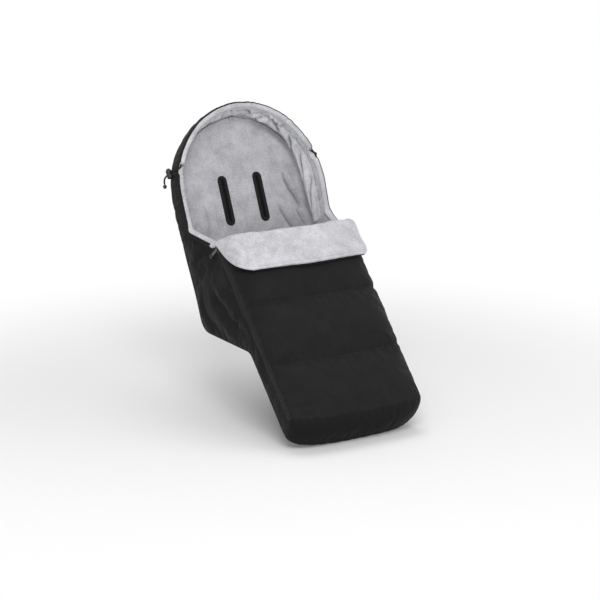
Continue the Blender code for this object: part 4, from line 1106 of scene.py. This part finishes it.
def make_rim():
    """One gathered roll of plush from neck to neck, flat where the drawcord comes out."""
    start, corner = neck_line()
    share = np.linspace(0.008, 0.992, 420)
    rim = hood_rim(share, rim_depth, channel_lift)
    flip = np.array((-1.0, 1.0, 1.0))
    right = [start + (corner - start) * t for t in np.linspace(0, 0.96, 44)]
    line = np.array([*right, *rim, *[p * flip for p in reversed(right)]])
    for _ in range(6):
        line[1:-1] = (line[:-2] + line[1:-1] * 2 + line[2:]) / 4
    distance = run_lengths(line)
    way = unit(np.gradient(line, axis=0))
    outward = unit(np.cross(way, UP))
    off = np.cross(outward, way)
    up = line[:, 1]
    on_arch = (distance > distance[44]) & (distance < distance[-45])
    gap = smooth((up - binding_start + 0.006) / 0.006) * smooth((channel_end + 0.005 - up) / 0.006)
    gap = gap * on_arch
    gathered = smooth((up - channel_end) / 0.03)
    phase = distance / pleat_pitch + 1.5 * wave_noise(distance, 0.045, 91)
    pleat = (0.5 - 0.5 * np.cos(2 * math.pi * phase)) ** 2
    pleat *= gathered * np.clip(0.5 + 0.9 * wave_noise(distance, 0.06, 92), 0, 1)
    lumps = (0.08 + 0.06 * gathered) * wave_noise(distance, 0.030, 93)
    ends = 0.35 + 0.65 * smooth(distance / 0.006) * smooth((distance[-1] - distance) / 0.006)
    on_neck = 1 - (smooth((distance - distance[40]) / 0.03)
                   * smooth((distance[-41] - distance) / 0.03))
    wide = roll_half_width * (1 + lumps - 0.07 * pleat + 0.5 * on_neck) * ends
    tall = roll_half_height * (1 + lumps - 0.24 * pleat) * ends * (1 - 0.66 * gap)
    centre = line - off * (channel_lift * 0.66 * gap + 0.0012 * pleat)[:, None]
    sway = 0.0012 * gathered * wave_noise(distance, 0.04, 94)
    centre = centre - outward * (sway - 0.002 * on_neck)[:, None]

    def ring_points(angles, spare):
        return framed(back_frame, *np.moveaxis(
            centre[:, None] + outward[:, None] * ((wide + spare)[:, None] * np.cos(angles))[..., None]
            + off[:, None] * ((tall + spare)[:, None] * np.sin(angles))[..., None], -1, 0))

    points = ring_points(np.linspace(0, 2 * math.pi, 20, endpoint=False), 0.0)
    count, around = points.shape[:2]
    index = np.arange(count * around).reshape(count, around)
    following = np.roll(index, -1, axis=1)
    faces = np.stack((index[:-1], index[1:], following[1:], following[:-1]), -1)
    faces = [*faces.reshape(-1, 4).tolist(), index[0].tolist(), index[-1][::-1].tolist()]
    thing = mesh_object("rim_roll", points, faces, smooth=True)
    finish_piece(thing, rim_plush, "muff",
                 ("hood_channel", "rim_binding_left", "rim_binding_right"))
    angles = np.radians(np.linspace(rim_cloth_from, rim_cloth_to, 13))
    outer_edge = ring_points(angles, rim_cloth_off)
    cloth = sheet_piece("rim_cloth", outer_edge[6:-6], 1, rim_cloth_thickness)
    finish_piece(cloth, black_cloth, "muff")


make_rim()

# Back panel, with its five bound slots

slots = (
    ("shoulder_slot_left", back_frame, -shoulder_slot_x, shoulder_slot_back, shoulder_slot_length),
    ("shoulder_slot_right", back_frame, shoulder_slot_x, shoulder_slot_back, shoulder_slot_length),
    ("waist_slot_left", back_frame, -waist_slot_x, waist_slot_back, waist_slot_length),
    ("waist_slot_right", back_frame, waist_slot_x, waist_slot_back, waist_slot_length),
    ("crotch_slot", Matrix.Identity(4), 0.0, crotch_slot_y, crotch_slot_length),
)


def stadium(length, width):
    """Outline with round ends, its long side along Y."""
    radius = width / 2
    straight = length / 2 - radius
    angles = np.linspace(0, math.pi, 13)
    top = np.stack((radius * np.cos(angles), straight + radius * np.sin(angles)), -1)
    sides = np.linspace(straight, -straight, 14)[1:-1]
    left = np.stack((np.full_like(sides, -radius), sides), -1)
    return np.concatenate((top, left, -top, -left))


def outline_ring(name, outline_offsets, place_matrix, length, width):
    """Closed ring lofted through outlines, each a distance out and a height."""
    flats = [(stadium(length + 2 * out, width + 2 * out).T, height) for out, height in outline_offsets]
    points = np.array([framed(place_matrix, *flat, height) for flat, height in flats])
    index = np.arange(points.shape[0] * points.shape[1]).reshape(points.shape[:2])
    after = np.roll(index, -1, axis=0)
    faces = np.stack((index, np.roll(index, -1, axis=1), np.roll(after, -1, axis=1), after), -1)
    return mesh_object(name, points, faces.reshape(-1, 4).tolist(), smooth=True)


def slot_cutter(matrix, x, along, length, height):
    outline = stadium(length + 0.0016, slot_width + 0.0016)
    points = np.concatenate([framed(matrix, x + outline[:, 0], along + outline[:, 1], z)
                             for z in (-height, 2 * height)])
    count = len(outline)
    faces = [[i, (i + 1) % count, (i + 1) % count + count, i + count] for i in range(count)]
    faces += [list(range(count))[::-1], list(range(count, 2 * count))]
    return mesh_object("slot_cutter", points, faces)


def panel_sheet(off, spare):
    """Grid over the panel's whole outline, with rounded foot and head ends."""
    angles = np.radians(np.linspace(3, 88, 16))
    corner = 2 / foot_corner_power
    foot = foot_reach - (foot_reach - panel_inset + spare) * np.cos(angles) ** corner
    foot_half = (leg_half - panel_inset + spare) * np.sin(angles) ** corner
    middle = np.linspace(foot_reach + 0.003, back_distance(head_arch_base) - 0.003, 150)
    turn = np.radians(np.concatenate((np.linspace(1, 78, 42), np.linspace(80, 89, 8))))
    head_reach = head_top - head_arch_base - panel_inset + spare
    head = back_distance(head_arch_base) + head_reach * np.sin(turn)
    head_width = (head_half - panel_inset + spare) * np.cos(turn)
    along = np.concatenate((foot, middle, head))
    half = np.concatenate((foot_half, wall_half(middle) - panel_inset + spare, head_width))
    even = np.linspace(-1, 1, 117)
    share = 0.45 * even + 0.55 * np.sin(even * math.pi / 2)
    crown = lining_crown * (1 - share ** 4) * (off > shell_thickness)
    return panel(half[:, None] * share, along[:, None], off + crown[None, :]), along, half


# Height of the hood's wall above the panel's underside, where the lining rounds up
hood_height = 0.0775
lining_spare = 0.0022
shell_spare = 0.0042
least_hood_rise = 0.003
plain_rise = 0.005
plain_spread = 0.0035

# Folds of the back's lining: places across it and up it, width and depth
back_folds = (
    (((0.150, 0.235), (0.138, 0.270), (0.122, 0.300), (0.118, 0.345)), 0.0050, 0.0060),
    (((0.122, 0.170), (0.110, 0.205), (0.096, 0.235), (0.082, 0.270)), 0.0070, 0.0055),
    (((0.150, 0.190), (0.140, 0.225), (0.132, 0.250)), 0.0045, 0.0045),
    (((-0.110, 0.300), (-0.098, 0.240), (-0.118, 0.180)), 0.0080, 0.0028),
    (((0.020, 0.420), (-0.030, 0.405), (-0.070, 0.385)), 0.0090, 0.0020),
)


def make_back():
    top, along, half = panel_sheet(panel_total, lining_spare)
    under, _, _ = panel_sheet(0.0, shell_spare)
    down = grid_lengths(top)[0]
    x = top[..., 0]
    lift = 0.0022 * field(top, 0.075, 101) + 0.0011 * field(top, 0.03, 102)
    keep = np.ones_like(lift)
    for name, matrix, slot_x, slot_along, length in slots:
        local = unframed(matrix, top)
        gap = np.hypot(np.maximum(np.abs(local[..., 0] - slot_x) - slot_width / 2, 0),
                       np.maximum(np.abs(local[..., 1] - slot_along) - length / 2, 0))
        near = np.abs(local[..., 2]) < 0.05
        keep = np.where(near, np.minimum(keep, smooth((gap - 0.004) / 0.018)), keep)
    head_row = back_distance(head_arch_base)
    side_gap = half[:, None] - np.abs(x)
    arch_half, arch_high = head_half - panel_inset, head_top - head_arch_base - panel_inset
    arch = np.hypot(x / arch_half, np.maximum(along[:, None] - head_row, 0) / arch_high)
    rim_gap = np.minimum(side_gap, (1 - arch) * arch_half)
    place = unframed(back_frame, top)
    above_arch = np.maximum(place[..., 1] - head_arch_base, 0)
    angle = np.arctan2(above_arch / arch_high, x / arch_half)
    way = np.clip((place[..., 1] - hood_seam) / (head_arch_base - hood_seam), 0, 1)
    way = hood_straight_share * way
    on_arch = hood_straight_share + (1 - 2 * hood_straight_share) * angle / math.pi
    share = np.where(above_arch > 0, on_arch, np.where(x > 0, way, 1 - way))
    in_hood = along[:, None] > neck_distance
    high = np.interp(share, round_shares, round_heights) * hood_height - panel_total
    high = np.where(in_hood, np.maximum(high, least_hood_rise), plain_rise)
    near_edge = np.clip(1 - rim_gap / (1.3 * high + 0.005), 0, 1)
    rise = high * (1 - np.sqrt(np.maximum(1 - near_edge ** 2, 0)))
    up_wall = (panel_total + rise) / hood_height
    lean = rim_half - head_half
    spread = 2 * up_wall * (1 - up_wall) * (lean / 2 + head_belly) + up_wall ** 2 * lean
    spread = np.where(in_hood, spread, plain_spread) * near_edge ** 1.5
    outward = unit(np.stack((x, above_arch, np.zeros_like(x)), -1))
    outward = outward @ np.array(back_frame)[:3, :3].T
    lift += 0.6 * puckers(along[:, None] + 1.4 * x, rim_gap, 0.040, 0.0040, 0.016, 103)
    folds = np.zeros_like(lift)
    for places, width, depth in back_folds:
        path = [(down[np.searchsorted(along, back_distance(b))], a + leg_half) for a, b in places]
        folds += crease(down[:, None] + 0 * x, x + leg_half, path, width, depth)
    lift += folds
    rise_way = panel(0.0, along, 1.0) - panel(0.0, along, 0.0)
    top = top + grid_normals(top, -1) * (lift * keep)[..., None] + outward * spread[..., None]
    top = top + rise_way[:, None] * rise[..., None]
    cutters = [slot_cutter(*slot[1:], panel_total) for slot in slots]
    # Painted shade: the plush is darkened deep in its folds and along its seam with the hood's wall,
    # more on the right side than at the top and left
    painted_fold_shade = np.clip((-folds - 0.0008) / 0.0060, 0, 1)
    painted_fold_shade += (in_hood * np.interp(share, (0.36, 0.48), (0.8, 0.12))
               * np.exp(-(rim_gap / 0.0030) ** 2))
    lining = sheet_piece("back_plush", top, -1, plush_thickness, cutters, painted_fold_shade)
    finish_piece(lining, grey_plush, "muff", ("back_lining", "back_wadding"))
    cloth = sheet_piece("back_cloth", under, 1, shell_thickness, cutters)
    finish_piece(cloth, black_cloth, "muff", ("back_shell",))
    for cutter in cutters:
        bpy.data.objects.remove(cutter, do_unlink=True)
    for name, matrix, x0, y0, length in slots:
        nearest = max(abs(x0) - slot_width / 2, 0)
        high = panel_total + lining_crown * (1 - (nearest / leg_half) ** 4) + 0.0006
        ring = outline_ring(f"{name}_tape", (
            (-0.0030, 0.0006), (-0.0016, 0.0001), (0.0040, 0.0001), (0.0050, 0.0004),
            (0.0052, 0.0010), (0.0018, 0.0014), (0.0016, high - 0.0014), (0.0034, high - 0.0008),
            (0.0040, high - 0.0002), (0.0030, high + 0.0005), (0.0, high + 0.0008),
            (-0.0026, high + 0.0001), (-0.0044, high - 0.0020), (-0.0054, high * 0.7),
            (-0.0056, high * 0.45), (-0.0048, high * 0.2)),
            matrix @ Matrix.Translation((x0, y0, 0)),
            length, slot_width)
        finish_piece(ring, black_tape, "muff", (f"{name}_binding",))


make_back()

# Zips: tapes with a row of coil teeth along their edges

teeth_pitch = 0.0030
tooth_half_width = 0.0013
tooth_half_length = 0.0009
tooth_rings = ((0.0007, 0.65), (0.0013, 1.0), (0.0030, 1.0), (0.0034, 0.7))


def make_zip(side, word, rise_sign, body, replaced):
    """Tape and teeth of one half of a zip. rise_sign is 1 on the cover and -1 on the side."""
    downs = np.linspace(0.002, zip_length - 0.002, 90)
    rises = np.linspace(0.0016, strip_edge + 0.0035, 7) * rise_sign
    x = side * (zip_half + 0.0004)
    points = framed(zip_frame, x, rises[None, :], downs[:, None])
    facing = side * -rise_sign
    tape = sheet_piece(f"zip_tape_{word}", points, facing, tape_thickness)
    finish_piece(tape, black_tape, None, replaced)
    verts, faces = [], []
    for number in range(int((zip_length - 0.006) / teeth_pitch)):
        middle = 0.003 + teeth_pitch * (number + (0.5 if rise_sign > 0 else 0.0))
        faces += rod_faces(len(verts), len(tooth_rings))
        for rise, shrink in tooth_rings:
            for sx, sd in square_corners:
                verts.append((side * zip_half + sx * tooth_half_width * shrink, rise * rise_sign,
                              middle + sd * tooth_half_length * shrink))
    if rise_sign < 0:
        faces = [face[::-1] for face in faces]
    teeth = mesh_object(f"zip_teeth_{word}", framed(zip_frame, *np.array(verts).T), faces)
    finish_piece(teeth, black_plastic, None)
    if body == "cover":
        blend_all((tape, teeth))
    else:
        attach(tape, "muff")
        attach(teeth, "muff")


for piece_side, piece_word in both_sides:
    make_zip(piece_side, f"side_{piece_word}", -1, "muff", (f"side_zip_{piece_word}",))
    make_zip(piece_side, f"cover_{piece_word}", 1, "cover", (f"cover_zip_{piece_word}",))

# Head pocket and its elastic hem

def pocket_points(across, share, depth):
    half = head_half - panel_inset - pocket_inset
    reach = head_top - head_arch_base - panel_inset - pocket_inset
    start = math.asin((pocket_bottom - head_arch_base) / reach)
    angle = start + (pocket_arch - start) * share
    up = head_arch_base + reach * np.sin(angle)
    width = half * np.cos(angle)
    fullness = (pocket_fullness * np.maximum(1 - across ** 2, 0) ** 0.75
                * np.maximum(np.cos(share * math.pi / 2), 0) ** 0.5)
    return framed(back_frame, width * across, up, -(fit_gap + fullness + depth))


def make_pocket():
    across = np.linspace(-1, 1, 101)[None, :]
    share = np.linspace(0, 1, 41)[:, None]
    points = pocket_points(across, share, 0.0013)
    down, over = cloth_places(points)
    lift = puckers(over, down, 0.012, 0.0022, 0.016, 111) + 0.0009 * field(points, 0.03, 112)
    edge = np.minimum(1 - np.abs(across), 1 - share)
    points = lifted(points, lift * smooth(edge / 0.12))
    cloth = sheet_piece("pocket_cloth", points, 1, pocket_thickness)
    finish_piece(cloth, black_cloth, "muff", ("head_pocket",))
    hem = points[0] + unit(points[0] - points[1]) * (hem_radius * 0.6)
    tube = tube_piece("pocket_hem", hem, hem_radius)
    finish_piece(tube, black_tape, "muff", ("pocket_elastic",))


make_pocket()

# Drawcord: comes out at each end of the channel, through its lock, and hangs to its cord end

def cord_points():
    """Route of the right cord from its eyelet to its cord end, in the frame of the back."""
    ends = hood_rim(np.array((arch_share_at(channel_end),)), rim_depth, channel_lift)[0]
    steps = np.linspace(arch_share_at(channel_end), 1 - arch_share_at(channel_end), 27)
    line = hood_rim(steps, rim_depth, channel_lift)
    out = unit(line[0] - line[1])
    outward = unit(np.array((-out[1], out[0], 0.0)))
    points = [ends + out * (eyelet_thickness + 2 * fit_gap)]
    points += [ends + out * (cord_bend * a) + outward * (cord_bend * o) - UP * (cord_bend * d)
               for a, o, d in cord_bend_shares]
    run = unit(np.array(cord_run_shares))
    run_end = points[-1] + run * cord_run_length
    points.append(points[-1] + run * (cord_run_length / 2))
    points.append(run_end)
    points += [run_end + np.array(p) * cord_tail_length for p in cord_tail_shares]
    return np.array(points)


def make_cord(side, word):
    points = framed(back_frame, *(cord_points() * np.array((side, 1, 1))).T)
    fine = [points[0]]
    for first, second in zip(points, points[1:]):
        fine += [first + (second - first) * t for t in (0.25, 0.5, 0.75, 1.0)]
    fine = np.array(fine)
    for _ in range(3):
        fine[1:-1] = (fine[:-2] + 2 * fine[1:-1] + fine[2:]) / 4
    thing = line_curve(f"drawcord_{word}", fine, cord_radius)
    finish_piece(thing, black_tape, "muff", ("drawcord",))


for piece_side, piece_word in both_sides:
    make_cord(piece_side, piece_word)

# Springs of the cord locks: coils that shorten as their buttons are pressed

spring_turns = 4.0
spring_wire = 0.0004
coil_points = 73
press_way = np.array((0.0, -0.548623, -0.83607))


def make_spring(word):
    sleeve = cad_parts[f"cord_lock_spring_{word}"]
    points = np.array([sleeve.matrix_world @ v.co for v in sleeve.data.vertices])
    middle = points.mean(axis=0)
    deep = (points - middle) @ press_way
    outer = np.linalg.norm(points - middle - deep[:, None] * press_way, axis=1).max()
    across = np.array((1.0, 0.0, 0.0))
    other = np.cross(press_way, across)
    turn = np.linspace(0, 2 * math.pi * spring_turns, coil_points)
    along = np.linspace(deep.min() + spring_wire, deep.max() - spring_wire, coil_points)
    radius = outer - 1.5 * spring_wire
    coil = (middle + press_way * along[:, None] + across * radius * np.cos(turn)[:, None]
            + other * radius * np.sin(turn)[:, None])
    thing = tube_piece(f"lock_coil_{word}", coil, spring_wire, rings=1)
    finish_piece(thing, spring_steel, None, (f"cord_lock_spring_{word}",))
    blend_all((thing,))


for _, piece_word in both_sides:
    make_spring(piece_word)

# Finishes of the hard parts that keep their solid shapes

for name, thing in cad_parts.items():
    if name.startswith(("eyelet", "zip_slider", "zip_pull")):
        finish = dark_nickel
    elif name.startswith("cord_lock_spring"):
        continue
    elif name.startswith(("cord_lock", "cord_end")):
        finish = black_plastic
    else:
        continue
    thing.data.materials.clear()
    thing.data.materials.append(finish)

# Stage: pale floor, soft light and the photograph's camera

camera_back = Vector((-0.5047, -0.8236, 0.2588)).normalized()
camera_place = Vector((-2.594, -4.280, 1.414))
floor_height = float(cad_low.z) - 0.002
floor_half = 12.0
camera_lens = 138.0
camera_sensor = 36.0
camera_reach = 50.0
studio_light = 0.42
white = (1.0, 1.0, 1.0, 1.0)


def stage_floor():
    material, tree, shader = new_material("white studio floor", Base_Color=linear("#f4f4f4"),
                                          Roughness=0.9)
    place = node(tree, "TexCoord").outputs["Object"]
    far = node(tree, "VectorMath", {0: place}, operation="LENGTH").outputs["Value"]
    fade = node(tree, "MapRange", {"Value": far}, {"From Min": 0.55, "From Max": 1.3},
                interpolation_type="SMOOTHSTEP").outputs["Result"]
    seen = node(tree, "LightPath").outputs["Is Camera Ray"]
    share = node(tree, "Math", {0: fade, 1: seen}, operation="MULTIPLY").outputs[0]
    plain = node(tree, "Emission", {}, {"Color": white, "Strength": 1.0})
    mix = node(tree, "MixShader", {0: share, 1: shader.outputs["BSDF"], 2: plain.outputs["Emission"]})
    tree.links.new(mix.outputs["Shader"], tree.nodes["Material Output"].inputs["Surface"])
    corners = [(x * floor_half, y * floor_half, floor_height) for x, y in square_corners]
    thing = mesh_object("floor", corners, [(0, 1, 2, 3)])
    thing.data.materials.append(material)


def soft_light(name, place, target, size, power):
    lamp = bpy.data.lights.new(name, "AREA")
    lamp.shape = "SQUARE"
    lamp.size = size
    lamp.energy = power
    thing = bpy.data.objects.new(name, lamp)
    thing.location = place
    thing.rotation_euler = (Vector(target) - Vector(place)).to_track_quat("-Z", "Y").to_euler()
    scene.collection.objects.link(thing)


def white_world():
    """Even studio light, with a plain white background where the camera or a gloss sees it."""
    world = bpy.data.worlds.new("studio")
    scene.world = world
    world.use_nodes = True
    tree = world.node_tree
    background = tree.nodes["Background"]
    path = node(tree, "LightPath").outputs
    seen = path["Is Camera Ray"]
    for ray in ("Is Glossy Ray", "Is Transmission Ray"):
        seen = node(tree, "Math", {0: seen, 1: path[ray]}, operation="MAXIMUM").outputs[0]
    strength = node(tree, "MapRange", {"Value": seen}, {"To Min": studio_light, "To Max": 1.0})
    tree.links.new(strength.outputs["Result"], background.inputs["Strength"])
    background.inputs["Color"].default_value = white


stage_floor()
white_world()
soft_light("key", (-1.4, -2.6, 2.9), (0, 0, 0.15), 2.0, 68)
soft_light("front", (-2.3, -3.2, 0.45), (0, 0.1, 0.25), 1.6, 52)
soft_light("fill", (2.4, -2.2, 0.9), (0, 0, 0.15), 1.8, 18)
soft_light("top", (0.2, 0.6, 2.8), (0, 0, 0.1), 1.8, 24)

camera_data = bpy.data.cameras.new("camera")
camera_data.lens = camera_lens
camera_data.sensor_width = camera_sensor
camera_data.clip_end = camera_reach
camera = bpy.data.objects.new("camera", camera_data)
camera.location = camera_place
camera.rotation_euler = (-camera_back).to_track_quat("-Z", "Y").to_euler()
scene.collection.objects.link(camera)
scene.camera = camera
scene.view_settings.view_transform = "Standard"
